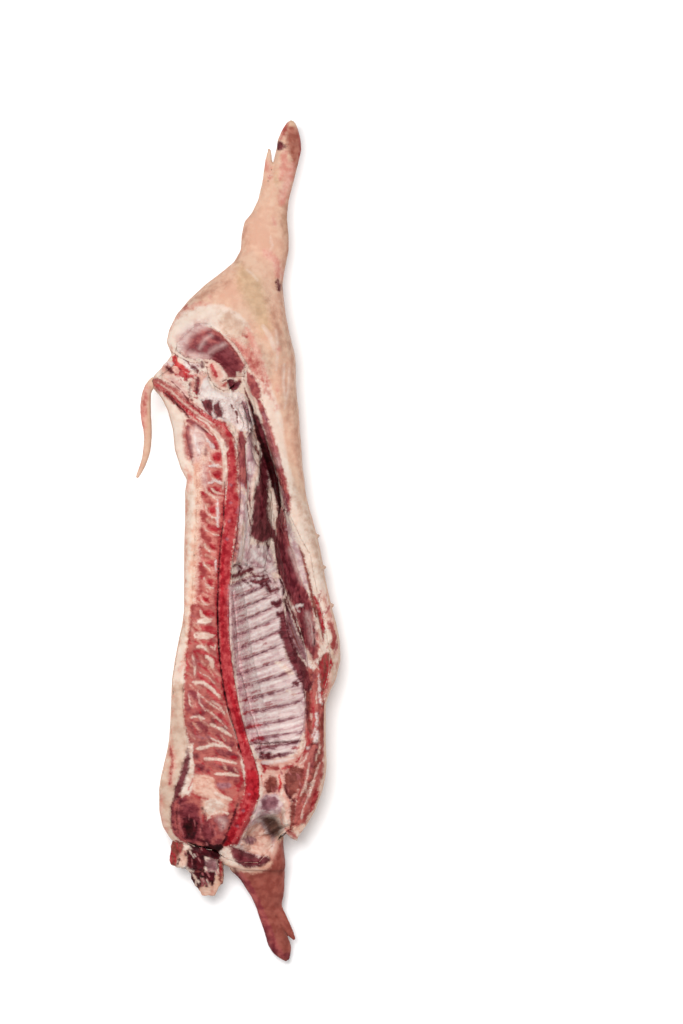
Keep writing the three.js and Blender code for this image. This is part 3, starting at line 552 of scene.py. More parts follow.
def along(rail, share):
    """The point at a share of the way along a rail of points."""
    at = share * (len(rail) - 1)
    i = min(int(at), len(rail) - 2)
    a, b = rail[i], rail[i + 1]
    return [a[k] + (b[k] - a[k]) * (at - i) for k in (0, 1)]


def rib_line(share, begin, end, lift):
    """A line across the chest wall, from begin to end of its width, lift mm above a rib's own line."""
    root, tip = along(RIB_ROOTS, share), along(RIB_TIPS, share)
    line = []
    for at in (begin, begin * 0.6 + end * 0.4, begin * 0.3 + end * 0.7, end):
        bow = RIB_BOW * math.sin(math.pi * at)
        line += [root[0] + (tip[0] - root[0]) * at, root[1] + (tip[1] - root[1]) * at - bow + lift]
    return line


paint("film", area(*[v for p in RIB_ROOTS + RIB_TIPS[::-1] for v in p]))
paint("blush film", area(*[v for p in RIB_ROOTS for v in p], 68, -439, 51, -393, 34, -331, 22, -258,
    14, -185, 5, -114))
paint("bloodied", area(*[v for p in RIB_ROOTS for v in p], 51, -414, 34, -331, 22, -227, 9, -123))
for i in range(RIBS + 1):
    low = max(0, i - RIBS / 2) / (RIBS / 2)
    share = i / RIBS
    paint("mauve", (4.5 + 2.5 * low, *rib_line(share, 0.0, 0.8, 0)), (2.5, *rib_line(share, 0.3, 1.0, 0)))
    paint("blush over", (2, *rib_line(share, 0.02, 0.55, 5)))
    # Pale lines along each rib's crest: a painted highlight.
    paint("pale", (6, *rib_line(share, 0.05, 0.95, -11)), (3, *rib_line(share, 0.1, 0.9, 8)))
    paint("mauve over", (5.0 * low, *rib_line(share, 0.0, 0.95, 0)))
    if i > 12:
        paint("clot", (5, *rib_line(share, 0.02, 0.6, 0)))
paint("fresh blood", (5, 7, -362, 18, -356, 32, -354), (6, 11, -391, 26, -385, 51, -383), (4, 1, -335,
    11, -331, 22, -331), (5, 24, -416, 41, -410, 55, -412), (6, 113, -433, 130, -428))
paint("clot", (10, 45, -439, 55, -445, 72, -443), (9, 113, -297, 128, -295), (4, 26, -420, 78, -420,
    136, -416))
paint("cream", (12, 76, -252, 97, -264, 118, -281), (8, 97, -218, 105, -248), (6, 97, -310, 122, -322))

# %% Skirt, belly wall and the thin lean in the belly fat
paint("lean", area(84, 77, 99, 64, 105, 19, 115, -23, 132, -75, 155, -129, 165, -193, 170, -243, 155, -252,
    138, -206, 122, -144, 105, -102, 90, -77, 80, -19, 82, 35))
paint("wine", area(84, 73, 97, 60, 103, 19, 113, -23, 130, -77, 151, -129, 159, -185, 163, -235, 147, -227,
    134, -181, 113, -123, 95, -77, 84, -19, 84, 31))
paint("clot", area(86, 2, 97, -6, 111, -44, 124, -85, 122, -110, 105, -102, 90, -64), (9, 90, -156,
    95, -198, 109, -239, 128, -272, 147, -306), (6, 101, -114, 109, -139, 122, -168), area(86, -148,
    97, -144, 105, -181, 122, -227, 145, -264, 157, -297, 151, -314, 136, -310, 118, -272, 101, -239,
    88, -198), (6, 138, -310, 145, -339, 147, -372), (5, 140, -285, 155, -306))
paint("mauve over", (17, 103, -148, 113, -185, 128, -218, 142, -248))
paint("line", (4, 107, -168, 118, -202, 130, -227), (3, 115, -156, 128, -189))
paint("pale", (3, 111, -160, 120, -185), (4, 136, -227, 147, -252), (4, 109, -152, 115, -173),
    (4, 138, -223, 147, -248), (7, 84, -98, 90, -114), (4, 113, -141, 126, -135, 138, -133), (3, 124, -135,
    130, -148), (5, 147, -248, 155, -264, 163, -264), (3, 122, -208, 126, -223))
paint("dark", (6, 93, -168, 99, -206, 115, -248, 134, -281), (7, 97, -119, 105, -148, 118, -181),
    (5, 113, -144, 126, -185, 140, -223, 155, -256), (6, 86, -77, 97, -98), (6, 88, -81, 97, -98, 95, -114))
paint("haze", (8, 145, -148, 155, -181, 159, -214), (6, 109, -15, 124, -56, 136, -89))
paint("film", area(80, -79, 93, -77, 101, -89, 97, -119, 80, -119), (8, 105, 40, 115, 2, 128, -44),
    (10, 118, 2, 130, -44, 145, -102), (6, 99, -131, 107, -152, 113, -177))
paint("mauve", (10, 105, -177, 113, -206, 126, -231), (6, 130, -218, 140, -243, 149, -264))
paint("cream", area(138, -214, 147, -223, 157, -248, 167, -264, 159, -270, 147, -252), (5, 165, -206,
    178, -223, 172, -248), (5, 167, -164, 176, -206, 184, -231))
paint("flesh", area(142, -264, 163, -252, 176, -272, 182, -331, 178, -418, 151, -426, 138, -397, 145, -331),
    (10, 188, -168, 201, -198, 197, -227), (8, 163, -189, 170, -223), (6, 186, -268, 182, -331, 178, -393))
paint("dry", area(170, -243, 184, -231, 194, -235, 194, -268, 186, -293, 178, -331, 172, -314, 170, -281),
    (12, 145, -293, 149, -331, 149, -364, 153, -401), (8, 128, -8, 140, -50, 153, -102, 165, -160),
    (10, 159, -123, 172, -156, 180, -206))
paint("red", (6, 159, -114, 172, -144, 180, -189), (4, 184, -243, 190, -264, 182, -310), (4, 155, -310,
    159, -343, 153, -372))
paint("rosy", (10, 176, -102, 190, -154, 201, -185), (10, 167, -181, 176, -210, 163, -231), (12, 192, -272,
    186, -331, 182, -414, 182, -476), (8, 201, -206, 209, -239, 205, -277))

# %% Brisket: gristle, the first rib and the dried muscles before it
paint("rosy", area(41, -451, 68, -449, 93, -451, 118, -445, 142, -424, 142, -466, 130, -539, 97, -539,
    88, -580, 51, -539, 51, -487), area(78, -535, 113, -539, 111, -589, 93, -593))
paint("flesh", area(142, -372, 167, -364, 178, -418, 178, -476, 163, -530, 138, -589, 113, -593, 122, -539,
    134, -476), (10, 51, -460, 63, -472, 88, -472), (6, 99, -597, 113, -605, 122, -618))
paint("dry", (10, 174, -364, 174, -414, 165, -460, 153, -497, 136, -530, 128, -547), (8, 176, -310,
    180, -352, 174, -389), area(97, -489, 105, -474, 122, -468, 136, -472, 138, -497, 128, -518, 111, -532,
    101, -522), area(57, -497, 66, -487, 80, -489, 84, -505, 78, -522, 63, -524, 55, -514), (10, 120, -532,
    115, -555, 113, -580, 111, -601), (6, 149, -426, 161, -418, 170, -401))
paint("pale", area(167, -272, 172, -281, 174, -310, 170, -314), area(170, -318, 176, -329, 176, -339,
    170, -335), area(161, -387, 167, -397, 167, -418, 159, -418, 155, -406), (5, 145, -433, 151, -428),
    (4, 163, -356, 165, -372, 163, -385))
paint("cream", (3, 130, -530, 138, -514, 145, -489, 149, -460), (4, 132, -580, 136, -555, 151, -522,
    161, -493), (8, 86, -530, 95, -539, 105, -551), (4, 130, -464, 140, -456, 147, -439), (10, 95, -551,
    99, -572, 103, -593), (6, 88, -532, 95, -514), (4, 142, -414, 138, -435), (3, 170, -460, 157, -497,
    145, -526), (4, 47, -489, 51, -510))
paint("blood", (8, 90, -474, 103, -470, 120, -466), (6, 49, -460, 57, -472, 55, -483), (9, 167, -516,
    159, -537, 151, -564))
paint("scarlet", (5, 86, -485, 90, -505, 86, -518), (4, 49, -485, 51, -510))
paint("red", (4, 122, -460, 136, -443, 149, -435), (4, 130, -468, 142, -449, 149, -433), (6, 147, -389,
    149, -418, 138, -439), (4, 155, -339, 161, -364, 157, -389))
paint("clot", (4, 97, -505, 103, -524, 111, -535), (2, 151, -480, 159, -451, 167, -422), (4, 147, -439,
    155, -422), (3, 124, -539, 111, -539))
paint("mauve", area(51, -539, 63, -528, 82, -530, 86, -547, 78, -562, 59, -562, 49, -553))
paint("film", area(30, -564, 43, -541, 55, -528, 80, -524, 97, -535, 97, -551, 84, -568, 59, -570,
    38, -578))
paint("mauve over", area(53, -541, 63, -532, 80, -532, 84, -545, 76, -557, 59, -557, 51, -551))
paint("apricot", area(130, -551, 147, -530, 165, -501, 176, -501, 176, -539, 155, -584, 130, -609, 97, -605,
    105, -589, 124, -584))
paint("blush", (8, 97, -597, 109, -607, 122, -618), (6, 134, -564, 140, -589))

# %% Dorsal muscles of the chest, between the spines
paint("flesh", area(-97, -131, -41, -131, -41, -227, -34, -272, -24, -331, -7, -393, 9, -456, 18, -518,
    5, -564, -20, -634, -53, -643, -86, -634, -120, -618, -136, -597, -134, -549, -120, -526, -99, -526,
    -90, -489, -95, -445, -101, -410, -111, -376, -111, -314, -107, -248, -103, -206))
paint("rosy", (12, -101, -206, -103, -248, -105, -297))
paint("cream", area(-84, -164, -68, -158, -51, -166, -66, -173, -84, -171), area(-93, -191, -70, -189,
    -47, -196, -63, -204, -90, -202), (6, -86, -220, -74, -218, -63, -227), (8, -66, -237, -53, -248,
    -51, -264), (7, -95, -293, -70, -293, -51, -308, -36, -324), (2, -86, -310, -72, -324, -53, -339,
    -32, -354), (2, -66, -347, -45, -364, -20, -389), (6, -57, -379, -36, -389, -11, -404), (7, -86, -431,
    -70, -428, -49, -422, -24, -426), (6, -70, -451, -36, -453, 1, -462), (2, -82, -310, -78, -335,
    -66, -352), (2, -101, -316, -97, -343), (4, -55, -408, -32, -420, -11, -435), (2, -24, -343, -11, -381,
    1, -418), (3, -55, -218, -47, -225, -45, -214), (5, -99, -366, -82, -364, -66, -370), (2, -78, -272,
    -61, -281, -45, -297), (3, -93, -237, -88, -260, -88, -285), (6, -49, -483, -20, -483, 5, -487),
    (3, -53, -331, -36, -343, -24, -364))
paint("apricot", (12, -82, -154, -66, -148), (10, -78, -210, -61, -206), (10, -66, -256, -53, -268),
    (8, -99, -144, -101, -206, -103, -289), (8, -80, -229, -68, -248), (10, -63, -343, -45, -356),
    (8, -68, -445, -49, -439), (8, -78, -493, -57, -489))
paint("red", (10, -74, -154, -61, -150, -47, -154), (10, -90, -181, -66, -181, -43, -183), (10, -63, -179,
    -55, -187, -45, -198), (10, -63, -210, -51, -216, -43, -227), (7, -90, -210, -76, -210, -63, -210),
    (8, -84, -227, -66, -233, -49, -243, -41, -264), (8, -82, -252, -68, -264, -49, -277, -38, -293),
    (9, -84, -272, -70, -287, -49, -302, -34, -318), (6, -105, -227, -103, -264, -107, -289), (8, -66, -306,
    -53, -318, -36, -335), (6, -49, -354, -28, -368, -16, -387), (6, -16, -447, 1, -451), (6, -53, -445,
    -45, -456, -32, -464))
paint("lean", area(-109, -314, -88, -308, -70, -327, -61, -347, -70, -364, -90, -364, -109, -347),
    (12, -53, -364, -32, -376, -14, -397), (12, -45, -401, -28, -410, -7, -424), (15, -51, -435, -24, -439,
    5, -449), (12, -51, -464, -20, -468, 9, -478), (8, -41, -493, -16, -493, 9, -495), (15, -88, -462,
    -72, -472, -57, -485), area(-105, -376, -84, -372, -59, -376, -61, -399, -78, -406, -101, -397))
paint("wine", (10, -97, -439, -88, -445, -78, -449), (7, -45, -437, -20, -441, 3, -449), (10, -86, -464,
    -72, -476), (4, -95, -414, -72, -420, -53, -412), (6, -45, -466, -20, -472, 5, -480), (6, -41, -408,
    -26, -416, -14, -424), (3, -53, -372, -36, -385, -20, -397), (8, -66, -510, -57, -518))
paint("mauve", (12, -43, -505, -28, -508, -11, -505), (3, -86, -404, -70, -408, -55, -406))

# %% Neck and shoulder
paint("cream", area(-107, -424, -90, -418, -93, -447, -88, -464, -93, -489, -103, -518, -115, -532,
    -118, -514, -107, -480, -103, -451), area(-66, -539, -49, -532, -34, -539, -24, -549, -45, -560,
    -59, -568, -70, -557), (4, -63, -578, -53, -566, -34, -560, -18, -566), (6, -49, -520, -32, -530,
    -11, -537))
paint("blush over", (2, -120, -539, -122, -564, -118, -593, -111, -614), (3, -76, -564, -74, -589,
    -78, -609))
paint("peach", area(-90, -485, -68, -483, -49, -491, -45, -510, -34, -524, -11, -535, -20, -547, -41, -541,
    -66, -532, -86, -524, -97, -514), area(-74, -535, -28, -535, -16, -551, -24, -564, -57, -572,
    -74, -564))
paint("blush", (10, -99, -526, -78, -532, -61, -539), (8, -72, -539, -68, -564, -74, -584), (8, -11, -518,
    1, -497, 1, -468), (8, -20, -564, -7, -543, 1, -526))
paint("red", (9, -103, -518, -99, -505, -93, -491), (5, -49, -499, -45, -512, -32, -522, -20, -530),
    (3, -99, -524, -78, -532, -61, -539), (4, -86, -478, -70, -485, -51, -480), (5, -32, -568, -16, -543,
    1, -526), (6, -3, -522, 9, -497, 5, -472), (8, -16, -539, -3, -564, -16, -597), (3, -72, -541,
    -68, -564, -74, -584), (3, -68, -520, -57, -528, -53, -535), (4, -20, -516, -3, -510, 9, -505))
paint("lean", area(-68, -580, -53, -568, -32, -564, -18, -570, -16, -589, -24, -609, -36, -626, -53, -632,
    -70, -622, -76, -601), area(-136, -543, -122, -530, -107, -532, -95, -543, -80, -553, -76, -570,
    -80, -593, -72, -618, -78, -634, -99, -632, -120, -622, -134, -605, -138, -570))
paint("wine", area(-72, -593, -59, -584, -49, -597, -51, -618, -63, -626, -74, -614), area(-115, -539,
    -99, -543, -80, -560, -78, -589, -74, -618, -90, -630, -111, -618, -118, -580), (5, -136, -547,
    -136, -576, -128, -609))
paint("haze", (10, -43, -576, -28, -580, -32, -597))
paint("dark", area(-111, -576, -99, -574, -84, -584, -84, -605, -95, -622, -107, -618, -113, -597),
    (10, -86, -618, -72, -624, -53, -636), (3, -124, -547, -126, -576, -122, -605))
paint("clot", area(-103, -431, -97, -447, -101, -476, -109, -505, -122, -532, -134, -543, -130, -514,
    -120, -485, -111, -456), (4, -109, -549, -93, -564, -82, -576), (4, -132, -539, -134, -568, -128, -597))
# Painted shade down in the dent of the neck and along the neck's cut end.
paint("slit shade", area(-107, -587, -95, -589, -90, -603, -99, -616, -107, -607), (5, -72, -634, -51, -641,
    -30, -636))

# %% Neck end: the pocket over the shoulder and the ragged trim
paint("film", area(-1, -634, 18, -593, 34, -576, 59, -576, 78, -609, 74, -643, 51, -664, 18, -651))
paint("peach", area(20, -597, 41, -591, 55, -601, 68, -614, 74, -634, 68, -657, 51, -659, 30, -651,
    11, -643, 7, -622), area(5, -634, 11, -605, 26, -591, 45, -584, 51, -601, 41, -626, 26, -647),
    area(-124, -659, -111, -639, -99, -643, -103, -668, -115, -682, -126, -676))
paint("cream", area(-38, -643, -24, -641, -16, -657, -26, -668, -36, -664))
paint("shadow", area(47, -574, 59, -570, 74, -572, 86, -580, 95, -595, 88, -614, 74, -620, 61, -607,
    51, -591))
paint("mauve", (8, 16, -643, 34, -647, 51, -657))
paint("mauve over", area(9, -620, 20, -614, 34, -616, 38, -624, 28, -632, 16, -632))
paint("clot", area(-16, -632, 1, -639, 20, -649, 43, -657, 63, -655, 68, -664, 53, -676, 26, -680, 5, -676,
    -11, -659))
paint("dark", (10, -7, -651, 18, -666, 51, -670))
paint("apricot", (12, -32, -676, -3, -682, 26, -686, 51, -682, 72, -668))
paint("rosy", (6, -20, -676, 14, -686, 51, -682), (10, -28, -647, -18, -659), (8, 76, -614, 80, -639,
    70, -664))
paint("blush", (6, -14, -634, -9, -655), (6, -28, -639, -32, -668))
paint("dry", area(-136, -622, -113, -624, -111, -643, -124, -659, -132, -676, -145, -668, -145, -647),
    area(-99, -680, -70, -680, -66, -713, -82, -726, -99, -713), (8, -38, -643, -36, -676, -36, -713))
paint("wine", area(-107, -643, -74, -634, -70, -672, -86, -686, -107, -680, -111, -664), (8, -134, -626,
    -128, -643, -132, -664), area(-99, -697, -74, -693, -49, -693, -70, -709, -90, -713))
strands("blush over", 16, 3, 15, 20, [-140, -626, -32, -634, -32, -705, -66, -726, -99, -713, -136, -672], 3)
strands("dark", 12, 4, 17, -15, [-128, -630, -32, -634, -36, -718, -86, -730, -128, -676], 4)
strands("cream", 7, 3, 15, 30, [-111, -647, -32, -647, -41, -713, -90, -722], 5)
paint("cream", (3, -97, -688, -86, -705, -88, -730), (4, -107, -680, -90, -688))
# The first area runs along the neck's cut end and is painted shadow under it; the others are the dark maroon
# of the trim.
paint("dark", area(-103, -630, -78, -634, -32, -630, -30, -651, -41, -668, -61, -659, -86, -651),
    (4, -109, -649, -105, -657), (6, -86, -693, -66, -701, -45, -693), area(-105, -643, -78, -641,
    -66, -664, -68, -682, -86, -691, -105, -680), area(-99, -688, -72, -688, -45, -688, -49, -709,
    -74, -718, -95, -713))
# Painted shade under the neck's cut end and in a gap of the trim.
paint("slit shade", (10, -66, -636, -49, -643, -34, -639), (4, -82, -697, -61, -701))
paint("mauve over", area(-68, -666, -55, -659, -43, -668, -43, -686, -63, -688))
paint("peach", (6, -63, -672, -53, -674, -51, -684), area(-72, -709, -57, -701, -43, -709, -45, -738,
    -72, -740, -78, -726))
paint("blush", (6, -72, -718, -72, -738))
paint("red", (3, -72, -718, -61, -703, -49, -699), (3, -41, -655, -34, -697))

# %% Fat threads, blood specks, and painted shade where the fat rounds away at the edges
paint("veined", (25, -161, 324, -99, 272, -24, 227))
paint("bloodied", area(-86, 210, -32, 210, -36, -123, -90, -123), area(142, -248, 192, -227, 176, -601,
    101, -614, 130, -476))
# Broad strokes just inside the edges of the sawn side: painted shade where the fat rounds away from the
# light.
paint("edge shade", (54, -120, -289, -128, -393, -140, -518, -145, -643), (21, -161, 410, -155, 447, -128, 476,
    -78, 495), (46, -32, 472, 1, 435, 34, 393, 63, 335), (21, 199, -206, 192, -331, 184, -456, 167, -564),
    (17, -103, 148, -111, -40, -115, -206), (17, 113, 127, 155, 23, 176, -81))

# %% Fibres and flecks, scattered over rings by a seeded draw
CHEST = [-97, -148, -43, -148, -41, -227, -28, -331, 1, -445, 5, -480, -78, -480, -99, -404, -107, -310]
strands("red", 30, 2, 21, 40, CHEST, 11)
strands("peach", 26, 1, 21, 40, CHEST, 12)
strands("blush over", 16, 2, 19, 50, CHEST, 13)
LOIN = [-72, 114, -45, 114, -49, 2, -53, -131, -80, -131, -76, -8]
strands("red", 14, 3, 17, 65, LOIN, 14)
strands("peach", 16, 2, 17, 60, LOIN, 15)
NECK = [-128, -543, -82, -551, -20, -572, -24, -618, -78, -626, -124, -614]
strands("blush over", 14, 2, 19, 10, NECK, 16)
strands("clot", 10, 2, 19, 0, NECK, 17)
SHEET = [5, 85, 22, 64, 26, -8, 72, -31, 80, -64, -3, -69, 1, 2]
strands("blush film", 16, 5, 25, 5, SHEET, 18)
strands("pale", 14, 2, 19, 0, SHEET, 19)
strands("clot", 10, 2, 8, 60, [26, -10, 76, -23, 84, -123, 51, -106, 5, -81], 20)
SKIRT = [88, 69, 109, -8, 138, -102, 163, -206, 155, -239, 130, -185, 101, -85, 84, -8]
RIB_CAGE = [-9, -123, 68, -89, 88, -156, 126, -268, 134, -393, 63, -435, 22, -331, 1, -227]
strands("blush over", 40, 1, 15, 108, RIB_CAGE, 29)
strands("blush over", 18, 1, 29, 14, SKIRT, 21)
strands("dark", 10, 2, 29, 14, SKIRT, 22)
BRISKET = [142, -272, 172, -264, 182, -331, 176, -456, 142, -570, 130, -560, 155, -456, 142, -372]
strands("blush over", 14, 2, 21, -8, BRISKET, 23)
strands("cream", 10, 2, 19, -8, BRISKET, 24)
strands("red", 10, 3, 19, -10, [167, -206, 194, -231, 192, -310, 172, -331], 30)
strands("blush over", 10, 2, 17, 20, [55, -489, 136, -468, 130, -530, 55, -522], 31)
strands("red", 7, 3, 17, 10, [-140, -622, -111, -624, -115, -672, -140, -668], 32)
PELVIS = [-153, 368, -78, 372, -66, 335, -86, 293, -120, 331]
strands("blush over", 14, 2, 12, 40, PELVIS, 25)
strands("fresh blood", 8, 2, 10, 60, PELVIS, 26)
strands("blush", 16, 2, 21, 20, [-3, 414, 26, 397, 68, 327, 72, 285, 43, 335], 27)
strands("blush over", 12, 2, 25, -14, [163, -102, 192, -123, 205, -227, 176, -227], 28)

# %% Back fat, skin and the feet
paint("rosy", (10, -136, -424, -132, -466, -140, -508), (10, -159, -518, -161, -564, -147, -609),
    (8, -107, 156, -99, 127, -103, 102), (6, -107, 106, -111, -40, -111, -144, -124, -227), (6, -136, -310,
    -140, -414, -153, -476), (10, -107, -248, -120, -272), (4, 84, 406, 86, 385), (4, 82, 327, 84, 306),
    (4, 72, 672, 80, 655))
paint("flesh", (4, -140, -424, -134, -456, -140, -505), (6, -105, -237, -103, -268, -107, -293))
# Darker tan on the rind. The strokes down the right of ham and leg are painted shade on the side away from
# the lamp; the others are patches of the rind's own tan, and two short ones darken the dents in the back.
paint("tan and shade", (10, -145, -314, -128, -316, -113, -312), (8, -145, -349, -128, -352, -115, -349),
    (19, 90, 580, 97, 501, 109, 439, 122, 356, 126, 231, 136, 127), (12, 63, 501, 84, 439, 97, 356,
    105, 252), (15, 101, 688, 109, 626, 99, 568), (10, 18, 657, 11, 616, -3, 580), (12, -11, 543, -53, 518,
    -99, 491))
# The foreleg's rind: its own brown-red, darkened further as painted shade.
paint("shaded brown all round", area(-3, -688, 38, -680, 68, -668, 80, -632, 101, -612, 122, -643, 122, -747,
    140, -830, 130, -903, 68, -903, 26, -809, 5, -747, -26, -695))
paint("wine all round", (12, -7, -680, 22, -743, 43, -792, 63, -838, 88, -876), (12, 97, -861, 113, -876))
paint("lean all round", (19, 5, -688, 34, -747, 53, -792, 72, -838, 97, -872))
paint("scalded all round", area(101, 861, 115, 863, 136, 855, 138, 797, 122, 776, 111, 797, 103, 826),
    (10, 93, 842, 97, 861, 105, 874), (12, 109, 751, 118, 792))
paint("blush all round", (8, 90, 834, 95, 855, 103, 872), (8, 128, 847, 134, 822, 128, 792), (8, -190, 310,
    -199, 252, -203, 189, -224, 144))
paint("clot all round", (6, 93, 865, 103, 874), area(80, 828, 90, 832, 101, 820, 90, 811, 82, 813),
    (8, 82, 543, 86, 530, 84, 518))
paint("rosy all round", (29, -186, 324, -199, 293, -207, 231, -211, 179, -228, 139), (17, 90, 699, 103, 747,
    113, 788), (12, 68, 751, 61, 792), (15, 97, 813, 97, 780, 88, 751), (17, 51, 605, 80, 580, 88, 543))
paint("olive all round", (8, 109, 880, 118, 861), (6, 80, 743, 84, 768))
paint("olive", area(1, 580, 47, 543, 63, 491, 72, 439, 51, 428, 34, 468, 14, 501, -3, 539), (12, 30, 532,
    43, 491, 59, 449), (6, 97, 676, 103, 634))
# Painted shade down the right side of the hind leg, away from the lamp.
paint("tan and shade all round", (29, 118, 813, 109, 740, 105, 678, 111, 616, 101, 560), (29, 97, 580, 109, 501,
    124, 397))
paint("fat all round", (4, 68, 634, 72, 614, 63, 589), (4, 18, 564, 30, 555, 43, 539))
paint("fat", (6, 80, 439, 84, 393, 80, 352), (10, 51, 449, 68, 422, 78, 393), (6, 97, 372, 95, 327,
    101, 285), (5, 107, 360, 105, 314, 97, 272))
TEATS = [(165, 10), (176, -56), (194, -135)]

# %% [markdown]
# ## Relief
# What a fingertip would feel and the flat facets left out is raised or sunk here, in millimetres along the
# surface: discs, ribs, folds of fat, dents in the back, the cleft between the toes and the teats.

# %% Drawn relief: height, width of its slope, shape
RELIEF = [
    (-1.5, 5, streak(6, -26, 123, -28, 64, -34, -8, -41, -102)),
    (-1.5, 5, streak(6, -41, -102, -40, -185, -34, -272, -20, -341, 5, -431)),
    (2.5, 7, streak(10, -45, 235, -28, 202, -24, 164, -24, 114)),
    (-3.5, 10, streak(10, -145, -312, -128, -314, -111, -310)),
    (-2.5, 9, streak(8, -145, -347, -128, -349, -111, -347)),
    (4, 12, area(-157, 364, -140, 370, -120, 356, -130, 339, -151, 339)),
    (3, 8, streak(12, -107, 387, -78, 379, -49, 374)),
    (-3, 7, streak(8, -124, 381, -99, 370, -70, 368)),
    (-5, 8, streak(10, -16, 335, -11, 312)),
    (3, 10, area(18, 352, 30, 347, 41, 333, 47, 297, 34, 302, 22, 327)),
    (-2, 6, streak(6, -61, 343, -51, 322, -36, 314)),
    (-2, 9, streak(12, -57, 289, -49, 260)),
    (3, 10, streak(17, -61, 314, -36, 297, -3, 285)),
    (3, 9, streak(12, -151, 327, -120, 300, -82, 264, -36, 237)),
    (-3, 6, streak(6, -153, 312, -124, 283, -99, 256)),
    (3, 9, streak(15, 63, 102, 72, 75, 80, 19)),
    (4, 9, area(99, -476, 126, -468, 140, -485, 128, -522, 103, -530)),
    (3.5, 8, area(55, -497, 68, -487, 82, -493, 80, -514, 61, -522)),
    (4, 12, area(-61, -580, -45, -564, -24, -568, -18, -593, -28, -622, -53, -632, -70, -614)),
    (-4, 10, area(-111, -576, -90, -580, -84, -605, -103, -618)),
    (3, 8, streak(17, -120, -547, -124, -580, -124, -614)),
    (2.5, 6, streak(10, -49, -437, -20, -441, 5, -449)),
    (2.5, 6, streak(10, -53, -466, -20, -472, 5, -480)),
    (3, 8, area(-107, -314, -82, -308, -61, -331, -61, -356, -90, -360)),
    (2.5, 8, area(-103, -379, -82, -374, -61, -381, -66, -397, -95, -393)),
    (3, 8, area(97, -543, 111, -547, 109, -576, 97, -589)),
    (2.5, 8, streak(12, 11, 210, 11, 148, 16, 85)),
    (2.5, 8, streak(10, 41, 189, 36, 137, 28, 85)),
    (-2, 6, streak(6, 18, 218, 18, 148, 22, 85)),
]
for x, y, half, rise in SPINES:
    RELIEF.append((2.0, 5, streak(12, x - half, y + rise / 2, x + half, y)))
print(sum(len(shapes) for shapes in PAINT.values()), "tissue shapes,", len(RELIEF), "of relief")

# %% [markdown]
# ## Materials of a carcass
# Everything here is wet tissue: light enters it, scatters a few millimetres and comes out, so each
# material has some subsurface, and a skin of moisture gives it low, broad gloss. The colours are layered
# in the order in which the tissues cover each other. Each layer's distance is roughened by noise before it
# is cut off, which makes ragged edges as fine as 1 to 2 mm, much finer than the mesh.

# %% Colours and layers
PIGMENT = 0.68  # how much darker the pigments are, as the light is 1 / 0.68 of what white paper needs


def linear(hex_code):
    """An sRGB hex colour, as it should look under these lamps, as linear red, green, blue and alpha."""
    values = [int(hex_code[i:i + 2], 16) / 255 for i in (1, 3, 5)]
    return (*[PIGMENT * (v / 12.92 if v <= 0.04045 else ((v + 0.055) / 1.055) ** 2.4) for v in values], 1.0)


# Tissue: light and dark colour, softness of its edge and raggedness in mm, how much it covers.
# The two with 0.0 are drawn as threads, with a cover of their own.
LAYERS = {
    "olive": ("#d0ad84", "#b89a72", 24, 10, 0.55),
    # Tan of the rind, also used as painted shade down the right of ham and hind leg.
    "tan and shade": ("#c2917a", "#a97560", 24, 10, 0.65),
    "fat": ("#ecd7c9", "#e0c0b0", 6, 4, 0.6),
    # Painted shade along the rounded edges of the fat.
    "edge shade": ("#d8b9a4", "#c49c86", 22, 12, 0.85),
    # Brown-red rind of the foreleg, darkened as painted shade.
    "shaded brown": ("#a4564a", "#8a3d34", 12, 8, 0.97),
    "scalded": ("#bb7463", "#96493c", 12, 6, 0.9),
    "rosy": ("#e4b0a0", "#d2897a", 12, 9, 0.85),
    "apricot": ("#f1cdb6", "#e3aa92", 10, 8, 0.85),
    "blush": ("#cc6d62", "#a8403e", 12, 7, 0.8),
    "flesh": ("#ba584f", "#962f31", 8, 6, 0.92),
    "lean": ("#b05a55", "#86333a", 6, 4, 0.97),
    "wine": ("#84383f", "#611c25", 12, 5, 0.9),
    "dry": ("#94493f", "#6e2c26", 6, 5, 0.97),
    "haze": ("#e4cec6", "#cfa6a0", 20, 5, 0.8),
    "red": ("#c64c4e", "#a21c28", 5, 6, 0.92),
    "veined": ("#ecccbc", "#dcaa9a", 3, 4, 0.0),
    "blood": ("#bd1f2c", "#8c0616", 5, 5, 0.9),
    "scarlet": ("#d83a36", "#b01a24", 4, 4, 0.95),
    "film": ("#e3cac7", "#c39a9d", 8, 8, 0.92),
    "blush film": ("#dcb0b0", "#ba868c", 14, 6, 0.8),
    "mauve": ("#b07f87", "#8b525d", 8, 5, 0.75),
    "peach": ("#ecc4b0", "#d69a86", 9, 8, 0.9),
    # Dark maroon muscle and blood; in the flank's crevice and along the neck's cut end it is painted shade.
    "dark": ("#5c1820", "#34090f", 6, 5, 1.0),
    "cream": ("#f0dccd", "#dab4a3", 5, 5, 0.92),
    # Whitish membrane and fat, also used for the painted highlight along the rib crests.
    "pale": ("#f4e8e2", "#e0cac4", 6, 6, 0.88),
    "blush over": ("#c07a78", "#a35558", 3, 4, 0.75),
    "mauve over": ("#976068", "#713f48", 7, 5, 0.9),
    "clot": ("#7c323a", "#54161f", 8, 6, 0.97),
    "fresh blood": ("#b8343a", "#8e1a28", 5, 5, 0.85),
    "bloodied": ("#b8544e", "#93333a", 3, 4, 0.0),
    "shadow": ("#5a2c1c", "#401c12", 18, 3, 0.93),
    "line": ("#90504a", "#6c2c2e", 2, 3, 0.9),
    # Painted shade: near-black in slits, gaps and the canal, where light doesn't get in.
    "slit shade": ("#3c1012", "#220708", 4, 3, 1.0),
}
# mm by which a tissue stands out, or lies lower, than the fat round it
RISE = {
    "flesh": 0.4, "lean": 0.6, "wine": 0.2, "dry": 0.8, "red": 0.0, "blood": 0.0, "film": 0.5,
    "mauve": -0.4, "dark": -0.8, "cream": 1.0, "pale": 1.0, "clot": -0.3, "line": -0.6, "slit shade": -1.4,
}
MASKS = ["cut", *LAYERS]

